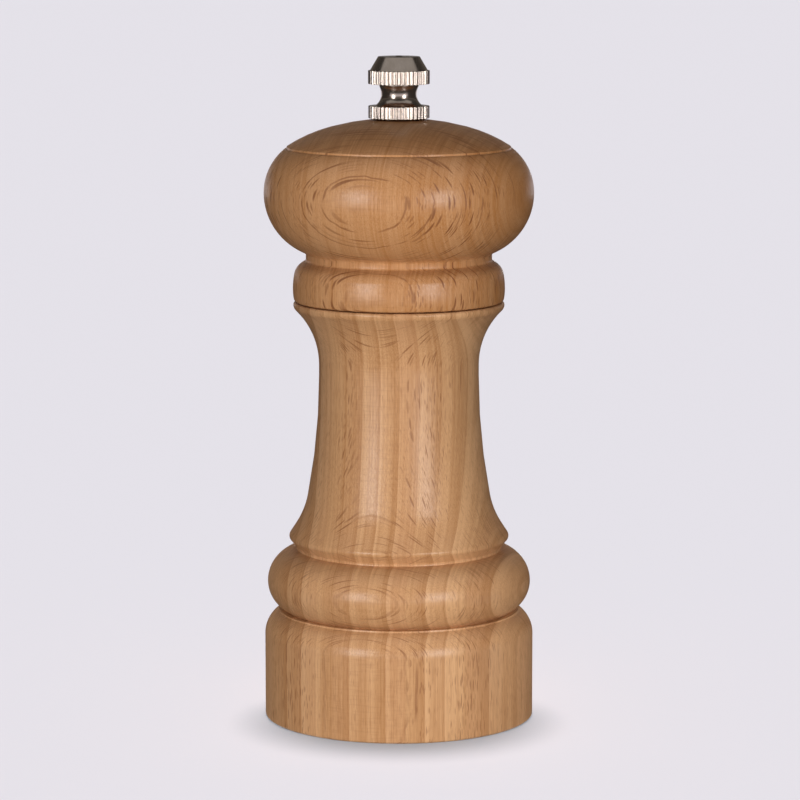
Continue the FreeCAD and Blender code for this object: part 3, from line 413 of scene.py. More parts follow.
SHAFT_OUTLINE = [
    (0.0, shaft_foot, "line"),
    (THREAD_TIP, shaft_foot, "line"),
    *thread_rings(shaft_foot + THREAD_RADIUS - THREAD_TIP, bar_foot),
    (SHOULDER, bar_foot, "line"),
    (BAR_RADIUS, bar_foot + BAR_CHAMFER, "line"),
    (BAR_RADIUS, bar_top - BAR_CHAMFER, "line"),
    (SHOULDER, bar_top, "line"),
    *thread_rings(bar_top, shaft_top - THREAD_RADIUS + THREAD_TIP),
    (THREAD_TIP, shaft_top, "line"),
    (0.0, shaft_top, "line"),
]
print("the shaft runs from", round(shaft_foot, 2), "to", round(shaft_top, 2), "mm")

# %% Turn, square and thread the shaft
SLACK = 0.1


def square_and_thread(bm):
    """Draws the bar in to its square section, and the ends into a right-hand thread."""
    for vert in bm.verts:
        radius = math.hypot(vert.co.x, vert.co.y) / MM
        height = vert.co.z / MM
        angle = math.atan2(vert.co.y, vert.co.x)
        if radius > THREAD_RADIUS + SLACK:
            draw_in(vert, HALF_SIDE / max(abs(math.cos(angle)), abs(math.sin(angle))))
        elif radius > THREAD_TIP + SLACK:
            turns = height / THREAD_PITCH - angle / (2 * math.pi)
            from_shoulder = max(bar_foot - height, height - bar_top)
            depth = THREAD_DEPTH * min(1, from_shoulder / THREAD_PITCH)
            draw_in(vert, THREAD_RADIUS - depth * 2 * abs(turns - round(turns)))


shaft_bm = spin_outline(SHAFT_OUTLINE, 0, SHAFT_STEPS)
square_and_thread(shaft_bm)
square_shaft = finished(shaft_bm, "square_shaft")
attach(square_shaft, "drive")
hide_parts("shaft")

# %% [markdown]
# The coil spring
#
# The spring sits between the bush and the rotor's pocket. Real springs have a closed coil at each end,
# so that they stand flat, with open coils between. A ring of wire is spun three times, each spin going
# on from the last ring of the one before: one closed turn, the open turns, one closed turn.

# %% A ring of wire
WIRE = 0.8
WIRE_SIDES = 12

spring_low, spring_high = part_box("spring")
wire_radius = WIRE / 2 * MM
coil_radius = spring_high.x - wire_radius
coil_foot = spring_low.z + wire_radius
coil_rise = (spring_high.z - spring_low.z) / MM - WIRE

spring_bm = bmesh.new()
wire_ring = []
for side in range(WIRE_SIDES):
    angle = 2 * math.pi * side / WIRE_SIDES
    reach = coil_radius + wire_radius * math.cos(angle)
    wire_ring.append(spring_bm.verts.new((reach, 0, coil_foot + wire_radius * math.sin(angle))))
first_face = spring_bm.faces.new(wire_ring)
ring_edges = list(first_face.edges)
print("the wire climbs", round(coil_rise, 2), "mm")

# %% Coil the spring
COIL_STEPS = 40
CLOSED_TURNS = 1
CLOSED_RISE = 0.85
OPEN_TURNS = 2.5


def coil(bm, ring, turns, rise):
    """Spins a ring of wire on by some turns while it climbs, and gives the last ring."""
    steps = round(turns * COIL_STEPS)
    made = bmesh.ops.spin(
        bm, geom=ring, cent=(0, 0, 0), axis=(0, 0, 1), dvec=(0, 0, rise * MM / steps),
        angle=turns * 2 * math.pi, steps=steps, use_merge=False,
    )
    return made["geom_last"]


end_ring = coil(spring_bm, wire_ring + ring_edges, CLOSED_TURNS, CLOSED_RISE)
end_ring = coil(spring_bm, end_ring, OPEN_TURNS, coil_rise - 2 * CLOSED_RISE)
end_ring = coil(spring_bm, end_ring, CLOSED_TURNS, CLOSED_RISE)
spring_bm.faces.new([item for item in end_ring if isinstance(item, bmesh.types.BMVert)])
merge_and_face_out(spring_bm)
coil_spring = finished(spring_bm, "coil_spring")
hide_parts("spring")
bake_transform(coil_spring)

# %% [markdown]
# Building a material from nodes
#
# Each finish is a small network of nodes. A few helpers keep the cells short: one adds a node and fills
# its inputs, from numbers or from other nodes' outputs, and the others add the nodes that come up again
# and again.

# %% Node helpers
# The Mix node has sockets for several kinds of data; these are the numbers of those for colours.
MIX_FACTOR = 0
MIX_FIRST = 6
MIX_SECOND = 7
MIX_RESULT = 2


def add_node(tree, kind, inputs=None, **settings):
    """Adds a node, sets its options, and fills inputs with values or links."""
    node = tree.nodes.new(kind)
    for option, value in settings.items():
        setattr(node, option, value)
    for key, value in (inputs or {}).items():
        if isinstance(value, bpy.types.NodeSocket):
            tree.links.new(value, node.inputs[key])
        else:
            node.inputs[key].default_value = value
    return node


def maths(tree, operation, *values, clamp=False):
    """One step of arithmetic, on numbers or on other nodes' outputs."""
    inputs = dict(enumerate(values))
    return add_node(tree, "ShaderNodeMath", inputs, operation=operation, use_clamp=clamp).outputs[0]


def ramp(tree, value, step, to_low=0.0, to_high=1.0):
    """Goes smoothly from to_low to to_high while a value goes from one end of the step to the other."""
    low, high = step
    inputs = {"Value": value, "From Min": low, "From Max": high, "To Min": to_low, "To Max": to_high}
    node = add_node(tree, "ShaderNodeMapRange", inputs, interpolation_type="SMOOTHSTEP")
    return node.outputs["Result"]


def mixed(tree, factor, first, second):
    """Mixes two colours."""
    inputs = {MIX_FACTOR: factor, MIX_FIRST: first, MIX_SECOND: second}
    return add_node(tree, "ShaderNodeMix", inputs, data_type="RGBA").outputs[MIX_RESULT]


# %% Pattern helpers
def axes(tree, vector):
    """The X, Y and Z of a vector."""
    return add_node(tree, "ShaderNodeSeparateXYZ", {"Vector": vector}).outputs


def scaled(tree, vector, scale, shift=(0, 0, 0), turn=0.0):
    """A vector scaled along each axis, turned about Z and shifted."""
    inputs = {"Vector": vector, "Scale": scale, "Location": shift, "Rotation": (0, 0, turn)}
    return add_node(tree, "ShaderNodeMapping", inputs).outputs["Vector"]


def noise(tree, vector, scale, detail=2.0, shift=(0, 0, 0)):
    """Soft noise, with a scale of its own along each axis of a vector."""
    inputs = {"Vector": scaled(tree, vector, scale, shift), "Scale": 1.0, "Detail": detail}
    return add_node(tree, "ShaderNodeTexNoise", inputs).outputs["Fac"]


# %% Material helpers
def new_material(name):
    """A material with its node tree, its main shader and its Object coordinates."""
    material = bpy.data.materials.new(name)
    material.use_nodes = True
    tree = material.node_tree
    shader = tree.nodes["Principled BSDF"]
    place = add_node(tree, "ShaderNodeTexCoord").outputs["Object"]
    return material, tree, shader, place


def link_bump(tree, shader, height, strength, distance):
    """Lets a pattern of heights tilt the surface a little."""
    inputs = {"Height": height, "Strength": strength, "Distance": distance}
    tree.links.new(add_node(tree, "ShaderNodeBump", inputs).outputs["Normal"], shader.inputs["Normal"])


# %% [markdown]
# Beech
#
# Beech is plain wood with a few kinds of mark. Growth rings are flat layers about 4 mm thick, each with
# its own tone, pale at one side and darker at the other. Rays are thin ribbons that run from the heart
# of the tree outwards: edge on they are short dark dashes, and seen flat they are faint flecks. A few
# broad rays are whole sheets, which a turned bulge cuts as ovals and arcs. Pores and fibres run along
# the grain. Faces that look up, such as the dome, are painted darker: partly the end grain, which the
# dome cuts across, and partly painted shade, because little light falls from above. Painting these on a
# surface would need a new drawing for each piece. Instead the pattern fills space, in the mill's own
# coordinates, and each turned surface simply cuts through it, as the lathe did. In that space X runs
# across the rings, Y across the rays and Z along the grain, in millimetres.

# %% Growth rings
RING_DRIFT = (0.05, 0.05, 0.008)
DRIFT_REACH = 2.0
LATE_WOOD_CURVE = 1.4


def growth_rings(tree, grain, width):
    """Flat layers across X: a tone and a tint for each, and how far it has darkened to late wood."""
    # Noise lies about 0.5, so the rings drift either way.
    drift = maths(tree, "SUBTRACT", noise(tree, grain, RING_DRIFT, detail=1.0), 0.5)
    across = maths(tree, "MULTIPLY_ADD", drift, DRIFT_REACH, axes(tree, grain)["X"])
    ring = maths(tree, "DIVIDE", across, width)
    number = maths(tree, "FLOOR", ring)
    late = maths(tree, "POWER", maths(tree, "FRACT", ring), LATE_WOOD_CURVE)
    chance = add_node(tree, "ShaderNodeTexWhiteNoise", {"W": number}, noise_dimensions="1D").outputs
    tint = add_node(tree, "ShaderNodeSeparateColor", {"Color": chance["Color"]}).outputs["Green"]
    return chance["Value"], tint, late


# %% Small rays
RAY_STEP = (0.20, 0.42)


def rays(tree, grain, cell, share):
    """Ribbons: cells stretched along X and Z, of which only a share hold a ray. Gives 0 to 1."""
    place = scaled(tree, grain, tuple(1 / size for size in cell))
    inputs = {"Vector": place, "Scale": 1.0, "Randomness": 1.0}
    cells = add_node(tree, "ShaderNodeTexVoronoi", inputs).outputs
    pick = add_node(tree, "ShaderNodeSeparateColor", {"Color": cells["Color"]}).outputs["Red"]
    held = ramp(tree, pick, (1 - share, 1 - share / 2))
    near = ramp(tree, cells["Distance"], RAY_STEP, to_low=1.0, to_high=0.0)
    return maths(tree, "MULTIPLY", held, near)


# %% Broad rays
SHEET_WANDER = (0.16, 0.0, 0.16)
WANDER_REACH = 0.9
SHEET_STEP = (0.03, 0.13)
SHEET_BREAKS = (0.22, 0.5, 0.22)
BREAKS_SHIFT = (0, 0, 7.0)
BREAK_STEP = (0.40, 0.56)


def broad_rays(tree, grain, depths):
    """A few broad rays: thin broken sheets across Y, at some depths. Gives 0 to 1."""
    wander = noise(tree, grain, SHEET_WANDER)
    along = maths(tree, "MULTIPLY_ADD", wander, WANDER_REACH, axes(tree, grain)["Y"])
    sheets = 0.0
    for depth in depths:
        gap = maths(tree, "ABSOLUTE", maths(tree, "SUBTRACT", along, depth + WANDER_REACH / 2))
        sheets = maths(tree, "MAXIMUM", ramp(tree, gap, SHEET_STEP, to_low=1.0, to_high=0.0), sheets)
    whole = ramp(tree, noise(tree, grain, SHEET_BREAKS, shift=BREAKS_SHIFT), BREAK_STEP)
    return maths(tree, "MULTIPLY", sheets, whole)


# %% How a surface cuts the wood
# Faces that look up are darkened, partly as end grain and partly as painted shade where little light
# falls from above; faces that look down are not.
UP_FACING_STEP = (0.40, 0.98)
LATHE_MARKS = (2600.0, 1.0, 2600.0)


def cut(tree, turn):
    """How far a face looks up, for end grain and painted shade, and how square it is to the rays' flat.
    """
    facing = add_node(tree, "ShaderNodeTexCoord").outputs["Normal"]
    inputs = {"Vector": facing, "Rotation": (0, 0, turn)}
    turned = add_node(tree, "ShaderNodeMapping", inputs, vector_type="VECTOR").outputs["Vector"]
    sides = axes(tree, turned)
    return ramp(tree, sides["Z"], UP_FACING_STEP), maths(tree, "ABSOLUTE", sides["Y"])


def turning_marks(tree, place):
    """Fine rings left by the lathe, which depend only on radius and height."""
    sides = axes(tree, place)
    reach = maths(tree, "MULTIPLY_ADD", sides["Y"], sides["Y"], maths(tree, "POWER", sides["X"], 2.0))
    inputs = {"X": maths(tree, "SQRT", reach), "Y": 0.0, "Z": sides["Z"]}
    lathe = add_node(tree, "ShaderNodeCombineXYZ", inputs).outputs["Vector"]
    return noise(tree, lathe, LATHE_MARKS, detail=1.0)


# %% [markdown]
# Colour and finish of the wood
#
# The ground colour goes from light to dark with the rings, fine layers, fibres and broad clouds. Flecks
# and pores are mixed over it, then the rays, and last a darker tone on faces that look up, partly end
# grain and partly painted shade. Fibres and rays also roughen the surface, and rays lie a little lower,
# so the same patterns drive the gloss and the bump.

# %% Ground colour
LAYERS = (2.0, 0.06, 0.012)
LAYERS_WEIGHT = 1.4
FIBRES = (7.0, 7.0, 0.16)
FIBRES_WEIGHT = 1.1
CLOUDS = (0.09, 0.09, 0.03)
CLOUDS_WEIGHT = 0.4
PINK_BEECH = (0.56, 0.275, 0.145, 1)


def weighed(tree, base, parts):
    """A base value plus how far each part is from its middle, times its weight, held between 0 and 1."""
    total = base - sum(weight / 2 for _, weight in parts)
    for value, weight in parts:
        total = maths(tree, "MULTIPLY_ADD", value, weight, total)
    return maths(tree, "ADD", total, 0.0, clamp=True)


def ground_colour(tree, grain, layers, fibres, tones, ring_width, contrast, heart):
    """Colour of the rings, layers and fibres between two tones, before any marks."""
    light, dark = tones
    tone, tint, late = growth_rings(tree, grain, ring_width)
    clouds = noise(tree, grain, CLOUDS)
    depth = weighed(tree, 0.5, [
        (axes(tree, grain)["X"], heart), (tone, contrast), (late, contrast),
        (layers, LAYERS_WEIGHT), (fibres, FIBRES_WEIGHT), (clouds, CLOUDS_WEIGHT),
    ])
    colour = mixed(tree, depth, light, dark)
    return mixed(tree, maths(tree, "MULTIPLY", tint, contrast / 2), colour, PINK_BEECH)


# %% Marks in the wood
RAY_BROWN = (0.24, 0.088, 0.030, 1)
FLECKS = (0.22, 0.9, 2.6)
FLECK_STEP = (0.46, 0.66)
FLECK_STRENGTH = 0.10
FLAT_STEP = (0.88, 0.985)
PORES = (9.0, 9.0, 0.45)
PORE_STEP = (0.60, 0.74)
PORE_STRENGTH = 0.30
EDGE_STEP = (0.90, 0.99)
LEFT_WHEN_FLAT = 0.15


def with_flecks_and_pores(tree, grain, facing_rays, colour):
    """Adds faint flecks where rays are seen flat, and fine pores everywhere."""
    flecks = ramp(tree, noise(tree, grain, FLECKS), FLECK_STEP)
    flecks = maths(tree, "MULTIPLY", flecks, ramp(tree, facing_rays, FLAT_STEP, to_high=FLECK_STRENGTH))
    colour = mixed(tree, flecks, colour, RAY_BROWN)
    pores = ramp(tree, noise(tree, grain, PORES, detail=0.0), PORE_STEP)
    return mixed(tree, maths(tree, "MULTIPLY", pores, PORE_STRENGTH), colour, RAY_BROWN)


def with_rays(tree, grain, facing_rays, colour, ribbons, depths, sheet_strength):
    """Adds broad rays and ribbons. Gives the colour, and where the rays are, from 0 to 1."""
    edge_on = ramp(tree, facing_rays, EDGE_STEP, to_low=1.0, to_high=LEFT_WHEN_FLAT)
    dents = broad_rays(tree, grain, depths)
    colour = mixed(tree, maths(tree, "MULTIPLY", dents, sheet_strength), colour, RAY_BROWN)
    for cell, share, strength in ribbons:
        ribbon = maths(tree, "MULTIPLY", rays(tree, grain, cell, share), edge_on)
        colour = mixed(tree, maths(tree, "MULTIPLY", ribbon, strength), colour, RAY_BROWN)
        dents = maths(tree, "MAXIMUM", ribbon, dents)
    return colour, dents


# %% Beech material
# The end grain's colour, which is also the painted shade on faces that look up.
END_GRAIN_AND_SHADE = (0.22, 0.089, 0.031, 1)
WOOD_ROUGHNESS = 0.36
FIBRES_ROUGHNESS = 0.16
RAYS_ROUGHNESS = 0.1
MARKS_RELIEF = 0.35
RAYS_RELIEF = -0.5
WOOD_BUMP = 0.12
WOOD_BUMP_DISTANCE = 0.2 * MM


def beech(name, tones, turn, shift, ring_width, contrast, heart, ribbons, sheets, end_grain_and_shade_darkness):
    """Beech with its rings turned about the axis, darker by heart for each millimetre across them.

    Ribbons are small rays as (cell, share, strength), sheets are broad rays as (depths, strength).
    """
    material, tree, shader, place = new_material(name)
    grain = scaled(tree, place, (1 / MM,) * 3, shift, math.radians(turn))
    # How far each face looks up: end grain and painted shade.
    end_grain_and_painted_shade, facing_rays = cut(tree, math.radians(turn))
    layers = noise(tree, grain, LAYERS, detail=4.0)
    fibres = noise(tree, grain, FIBRES)

    colour = ground_colour(tree, grain, layers, fibres, tones, ring_width, contrast, heart)
    colour = with_flecks_and_pores(tree, grain, facing_rays, colour)
    depths = [shift[1] - depth for depth in sheets[0]]
    colour, dents = with_rays(tree, grain, facing_rays, colour, ribbons, depths, sheets[1])
    # Layers lie about 0.5, so twice their value leaves the darkening of faces that look up, end grain
    # and painted shade, as dark as it is told to be.
    end_grain_and_shade_lines = maths(tree, "MULTIPLY", layers, 2.0 * end_grain_and_shade_darkness)
    colour = mixed(tree, maths(tree, "MULTIPLY", end_grain_and_painted_shade, end_grain_and_shade_lines), colour, END_GRAIN_AND_SHADE)
    tree.links.new(colour, shader.inputs["Base Color"])

    roughness = weighed(tree, WOOD_ROUGHNESS, [(fibres, FIBRES_ROUGHNESS), (dents, RAYS_ROUGHNESS)])
    tree.links.new(roughness, shader.inputs["Roughness"])
    relief = maths(tree, "MULTIPLY_ADD", turning_marks(tree, place), MARKS_RELIEF, fibres)
    relief = maths(tree, "MULTIPLY_ADD", dents, RAYS_RELIEF, relief)
    link_bump(tree, shader, relief, WOOD_BUMP, WOOD_BUMP_DISTANCE)
    print(name, "uses", len(tree.nodes), "nodes")
    return material


# %% [markdown]
# Two pieces of wood
#
# The body is the paler piece, with clear rings and short dashes. The head is redder, with faint rings,
# long strokes and bold broad rays. Both stand with the flat of their rays almost square to the camera,
# 15 degrees off.

# %% Beech of the body
RAYS_TURN = 15
BODY_RIBBONS = [
    ((6.0, 0.45, 14.0), 0.03, 0.6),
    ((14.0, 0.28, 4.2), 0.40, 0.66),
    ((9.0, 0.20, 2.4), 0.46, 0.50),
]

body_beech = beech(
    "beech_of_the_body",
    tones=((0.69, 0.392, 0.195, 1), (0.44, 0.208, 0.080, 1)),
    turn=RAYS_TURN,
    shift=(31.45, 3.0, 5.0),
    ring_width=4.05,
    contrast=0.52,
    heart=0.0,
    ribbons=BODY_RIBBONS,
    sheets=([28.5, 24.1, 20.6], 0.25),
    # Faces that look up are darkened by this much, as end grain and painted shade.
    end_grain_and_shade_darkness=0.15,
)
beech_body.data.materials.append(body_beech)

# %% Beech of the head
HEAD_RIBBONS = [
    ((26.0, 0.50, 13.0), 0.14, 0.50),
    ((22.0, 0.46, 4.6), 0.56, 0.95),
    ((12.0, 0.26, 2.4), 0.40, 0.55),
]

head_beech = beech(
    "beech_of_the_head",
    tones=((0.63, 0.332, 0.156, 1), (0.43, 0.175, 0.050, 1)),
    turn=RAYS_TURN,
    shift=(0.6, 11.3, 2.0),
    ring_width=4.4,
    contrast=0.16,
    heart=0.007,
    ribbons=HEAD_RIBBONS,
    sheets=([28.33, 26.0, 21.6], 0.65),
    # Faces that look up are darkened by this much, as end grain and painted shade.
    end_grain_and_shade_darkness=0.38,
)
beech_head.data.materials.append(head_beech)

# %% [markdown]
# Metals and nylon
#
# Plated, ground, drawn and cast metals differ in how rough they are and which way their marks run, so
# one function makes them all: a colour, a roughness with patches, and fine marks stretched along the
# direction in which the tool moved. The nylon of the bush is milky, with a faint speckle.

# %% Metal material
PATCHES = (300.0, 300.0, 300.0)
PATCH_STEP = (0.3, 0.75)
FINE_BUMP_DISTANCE = 0.1 * MM


def metal(name, colour, deep, roughness, spread, marks, relief):
    """A metal with patchy colour and roughness, and fine marks of the given scale along x, y and z."""
    material, tree, shader, place = new_material(name)
    patches = noise(tree, place, PATCHES, detail=4.0)
    lines = noise(tree, place, marks)
    patchy = mixed(tree, ramp(tree, patches, PATCH_STEP), colour, deep)
    tree.links.new(patchy, shader.inputs["Base Color"])
    rough = maths(tree, "MULTIPLY_ADD", patches, spread, roughness - spread / 2)
    rough = maths(tree, "MULTIPLY_ADD", lines, spread, rough)
    tree.links.new(rough, shader.inputs["Roughness"])
    link_bump(tree, shader, lines, relief, FINE_BUMP_DISTANCE)
    shader.inputs["Metallic"].default_value = 1.0
    print(name, "uses", len(tree.nodes), "nodes")
    return material


# %% Five metals
nickel = metal(
    "polished_nickel", colour=(0.58, 0.495, 0.43, 1), deep=(0.49, 0.41, 0.35, 1),
    roughness=0.17, spread=0.05, marks=(400.0, 400.0, 9000.0), relief=0.006,
)
burr = metal(
    "hardened_burr_steel", colour=(0.24, 0.24, 0.245, 1), deep=(0.12, 0.118, 0.115, 1),
    roughness=0.46, spread=0.25, marks=(2500.0, 2500.0, 2500.0), relief=0.25,
)
zinc = metal(
    "bright_zinc", colour=(0.63, 0.64, 0.65, 1), deep=(0.50, 0.51, 0.52, 1),
    roughness=0.34, spread=0.20, marks=(5000.0, 700.0, 700.0), relief=0.10,
)
wire = metal(
    "drawn_spring_wire", colour=(0.42, 0.42, 0.43, 1), deep=(0.30, 0.30, 0.30, 1),
    roughness=0.30, spread=0.15, marks=(900.0, 900.0, 900.0), relief=0.10,
)
aluminium = metal(
    "drawn_aluminium", colour=(0.72, 0.72, 0.73, 1), deep=(0.60, 0.60, 0.61, 1),
    roughness=0.36, spread=0.18, marks=(6000.0, 6000.0, 120.0), relief=0.15,
)

nickel_knob.data.materials.append(nickel)
square_shaft.data.materials.append(aluminium)
coil_spring.data.materials.append(wire)

# %% Nylon material
MILKY = (0.80, 0.78, 0.70, 1)
YELLOWED = (0.70, 0.67, 0.58, 1)
SPECKLE = (900.0, 900.0, 900.0)
SPECKLE_STEP = (0.35, 0.7)
NYLON_ROUGHNESS = 0.38
SPECKLE_ROUGHNESS = 0.2
NYLON_BUMP = 0.08


def nylon_material():
    """Milky nylon with a faint speckle in its colour and gloss."""
    material, tree, shader, place = new_material("natural_nylon")
    speckle = noise(tree, place, SPECKLE, detail=3.0)
    colour = mixed(tree, ramp(tree, speckle, SPECKLE_STEP), MILKY, YELLOWED)
    tree.links.new(colour, shader.inputs["Base Color"])
    rough = maths(tree, "MULTIPLY_ADD", speckle, SPECKLE_ROUGHNESS, NYLON_ROUGHNESS)
    tree.links.new(rough, shader.inputs["Roughness"])
    link_bump(tree, shader, speckle, NYLON_BUMP, FINE_BUMP_DISTANCE)
    print(material.name, "uses", len(tree.nodes), "nodes")
    return material


nylon = nylon_material()

# %% [markdown]
# The CAD nodes that stay
#
# The grinder, bridge, bush, plate, ring, nut, washer, clip and screws have the right shape in the CAD
# model. They keep their meshes, and each takes the finish that belongs to its material slot in the
# record.

# %% Finish the CAD nodes that stay
FINISHES = {
    "burr_steel": burr,
    "zinc_steel": zinc,
    "spring_steel": wire,
    "shaft_aluminium": aluminium,
    "nylon": nylon,
}
for row in frame["record"]["subparts"]:
    finish = FINISHES.get(row["material_slot"])
    if finish is not None:
        mesh = frame["nodes"][row["node"]].data
        mesh.materials.clear()
        mesh.materials.append(finish)
        print(row["node"], "is", finish.name)

# %% [markdown]
# Camera
#
# The photograph was taken with a long lens from a little above the knob, so the mill's sides run almost
# parallel. The camera's distance, height and pitch were worked out from the ellipses of the foot, rim
# and crease.

# %% Camera
CAMERA_DISTANCE = 0.7884
CAMERA_HEIGHT = 0.18777
CAMERA_ASIDE = 0.00024
CAMERA_PITCH = 0.1468
CAMERA_LENS = 161.1
CAMERA_SENSOR = 36
NEAREST = 0.01
FARTHEST = 100

camera = bpy.data.objects.new("camera", bpy.data.cameras.new("camera"))
bpy.context.scene.collection.objects.link(camera)
camera.location = (CAMERA_ASIDE, -CAMERA_DISTANCE, CAMERA_HEIGHT)
camera.rotation_euler = (math.pi / 2 - CAMERA_PITCH, 0, 0)
camera.data.lens = CAMERA_LENS
camera.data.sensor_width = CAMERA_SENSOR
camera.data.clip_start = NEAREST
camera.data.clip_end = FARTHEST
bpy.context.scene.camera = camera
bpy.context.scene.view_settings.view_transform = "Standard"
print("the camera stands", CAMERA_DISTANCE, "m away and looks down by", CAMERA_PITCH, "radians")

# %% [markdown]
# Floor
#
# The mill stands on a plain pale floor, matt and wide enough to be the background too. A real floor
# would throw light up at the wood, but the photograph shows hardly any, so the floor is kept out of
# the diffuse light. It is clear from underneath, so that the grinder can be looked at from below.

# %% Floor
FLOOR_COLOUR = (0.783, 0.760, 0.815, 1)
FLOOR_RADIUS = 20
FLOOR_SIDES = 96


def make_matt(shader, colour):
    """Gives a shader one colour and takes away its gloss."""
    shader.inputs["Base Color"].default_value = colour
    shader.inputs["Roughness"].default_value = 1.0
    shader.inputs["Specular IOR Level"].default_value = 0.0


floor_bm = bmesh.new()
bmesh.ops.create_circle(floor_bm, cap_ends=True, radius=FLOOR_RADIUS, segments=FLOOR_SIDES)
floor = finished(floor_bm, "floor")
floor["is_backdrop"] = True
floor.visible_diffuse = False
floor_paint, floor_tree, floor_shader, _ = new_material("pale_floor")
make_matt(floor_shader, FLOOR_COLOUR)
under = add_node(floor_tree, "ShaderNodeNewGeometry").outputs["Backfacing"]
clear = add_node(floor_tree, "ShaderNodeBsdfTransparent").outputs["BSDF"]
sides = {0: under, 1: floor_shader.outputs["BSDF"], 2: clear}
one_sided = add_node(floor_tree, "ShaderNodeMixShader", sides).outputs["Shader"]
floor_tree.links.new(one_sided, floor_tree.nodes["Material Output"].inputs["Surface"])
floor.data.materials.append(floor_paint)

# %% [markdown]
# Lamps
#
# Two softboxes, one each side of the camera and hardly above the mill, light the wood: that is why its
# front is bright and its sides fall off. A weak ceiling lights the dome and the knob's cone, a long low
# card and two small side cards lift the foot, and two panels behind light the back for the views from
# there. Each lamp is linked to a collection, and lights only what is in it. All of the mill's lamps
# share one collection: where lamps are linked to different groups that overlap, the renderer can give a
# lamp the wrong weight.

# %% Lamp helpers
def group_of(name, pieces):
    """A collection of pieces. A lamp that is linked to it lights these pieces and no others."""
    group = bpy.data.collections.new(name)
    for piece in pieces:
        group.objects.link(piece)
    return group


MILL = group_of("pieces_of_the_mill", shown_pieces())
FLOOR = group_of("floor_alone", [floor])


def around(azimuth, distance, height):
    """A point round the mill's axis; azimuth 0 is the camera's side, and more goes to the right."""
    side = math.radians(azimuth)
    return Vector((math.sin(side) * distance, -math.cos(side) * distance, height))


def panel(name, place, target, size, power, spread=180, in_gloss=True):
    """A soft rectangular lamp that faces a target and lights the mill; the camera doesn't see it."""
    data = bpy.data.lights.new(name, "AREA")
    data.shape = "RECTANGLE"
    data.size, data.size_y = size
    data.energy = power
    data.spread = math.radians(spread)
    lamp = bpy.data.objects.new(name, data)
    bpy.context.scene.collection.objects.link(lamp)
    lamp.location = place
    lamp.rotation_mode = "QUATERNION"
    lamp.rotation_quaternion = (place - target).to_track_quat("Z", "Y")
    lamp.visible_camera = False
    lamp.visible_glossy = in_gloss
    lamp.light_linking.receiver_collection = MILL
    print(name, "gives", power, "W")


# %% Softboxes and ceiling
SOFTBOX_DISTANCE = 1.086
SOFTBOX_HEIGHT = 0.246
SOFTBOX_SIZE = (0.28, 0.42)
LEFT_SOFTBOX = around(-35, SOFTBOX_DISTANCE, SOFTBOX_HEIGHT)
RIGHT_SOFTBOX = around(34, SOFTBOX_DISTANCE, SOFTBOX_HEIGHT)
CEILING = Vector((0, -0.35, 0.95))
BELOW_CEILING = Vector((0, -0.35, 0))
MIDDLE = Vector((0, 0, 0.074))

panel("left_softbox", LEFT_SOFTBOX, MIDDLE, SOFTBOX_SIZE, power=3.4)
panel("right_softbox", RIGHT_SOFTBOX, MIDDLE, SOFTBOX_SIZE, power=3.35)
panel("ceiling", CEILING, BELOW_CEILING, size=(2.3, 0.9), power=2.4)

# %% Panels behind, and cards for the foot
BEHIND = 180
BACK_DISTANCE = 1.02
BACK_FILL_HEIGHT = 0.486
LEVEL = Vector((0, 0, 0.12))
LOW = Vector((0, 0, 0.028))
LOW_CARD_DISTANCE = 0.36
FOOT = Vector((0, 0, 0.012))
CARD_AZIMUTH = 78
CARD_DISTANCE = 0.10
CARD_SIZE = (0.06, 0.02)
CARD_SPREAD = 60
LEFT_CARD = around(-CARD_AZIMUTH, CARD_DISTANCE, FOOT.z)
RIGHT_CARD = around(CARD_AZIMUTH, CARD_DISTANCE, FOOT.z)

back_fill_place = around(BEHIND, BACK_DISTANCE, BACK_FILL_HEIGHT)
back_panel_place = around(BEHIND, BACK_DISTANCE, LEVEL.z)
low_card_place = around(0, LOW_CARD_DISTANCE, LOW.z)
panel("back_fill", back_fill_place, MIDDLE, size=(0.8, 0.5), power=5.5, in_gloss=False)
panel("back_panel", back_panel_place, LEVEL, size=(0.8, 0.2), power=8.0, in_gloss=False)
panel("low_card", low_card_place, LOW, size=(0.5, 0.05), power=0.80, in_gloss=False)
panel("left_card", LEFT_CARD, FOOT, CARD_SIZE, power=0.0008, spread=CARD_SPREAD, in_gloss=False)
panel("right_card", RIGHT_CARD, FOOT, CARD_SIZE, power=0.0016, spread=CARD_SPREAD, in_gloss=False)

# %% [markdown]
# Dark flag
#
# Polished metal shows the room around it, and in a white room the knob would look like chalk.
# Photographers stand dark cloth just out of the picture, which gives the metal its dark edges. Here it
# is a ring on the floor, a curved wall on each side and a low one behind. It shows only in reflections:
# the camera doesn't see it, and it neither lights nor shades anything. The cloth isn't black, but only
# the faint light of the room falls on it.

# %% Dark flag
FLAG_RADIUS = 0.28
APRON_RADIUS = 0.6
FLAG_HEIGHT = 0.2
BACK_HEIGHT = 0.09
FLAG_LIFT = 0.0005
FLAG_START = 57.5
FLAG_TURN = 82.5
BACK_START = FLAG_START + FLAG_TURN
STRIP_STEPS = 64
CLOTH_COLOUR = (0.90, 0.85, 0.80, 1)

flag_bm = bmesh.new()


def spin_strip(start, stop, turn):
    """Turns the line between two points about the mill's axis by some degrees."""
    ends = [flag_bm.verts.new(start), flag_bm.verts.new(stop)]
    strip = ends + [flag_bm.edges.new(ends)]
    bmesh.ops.spin(
        flag_bm, geom=strip, cent=(0, 0, 0), axis=(0, 0, 1), angle=math.radians(turn), steps=STRIP_STEPS,
    )


def flag_wall(start, turn, height):
    """A curved wall round the mill, from one azimuth on by some degrees."""
    spin_strip(around(start, FLAG_RADIUS, FLAG_LIFT), around(start, FLAG_RADIUS, height), turn)


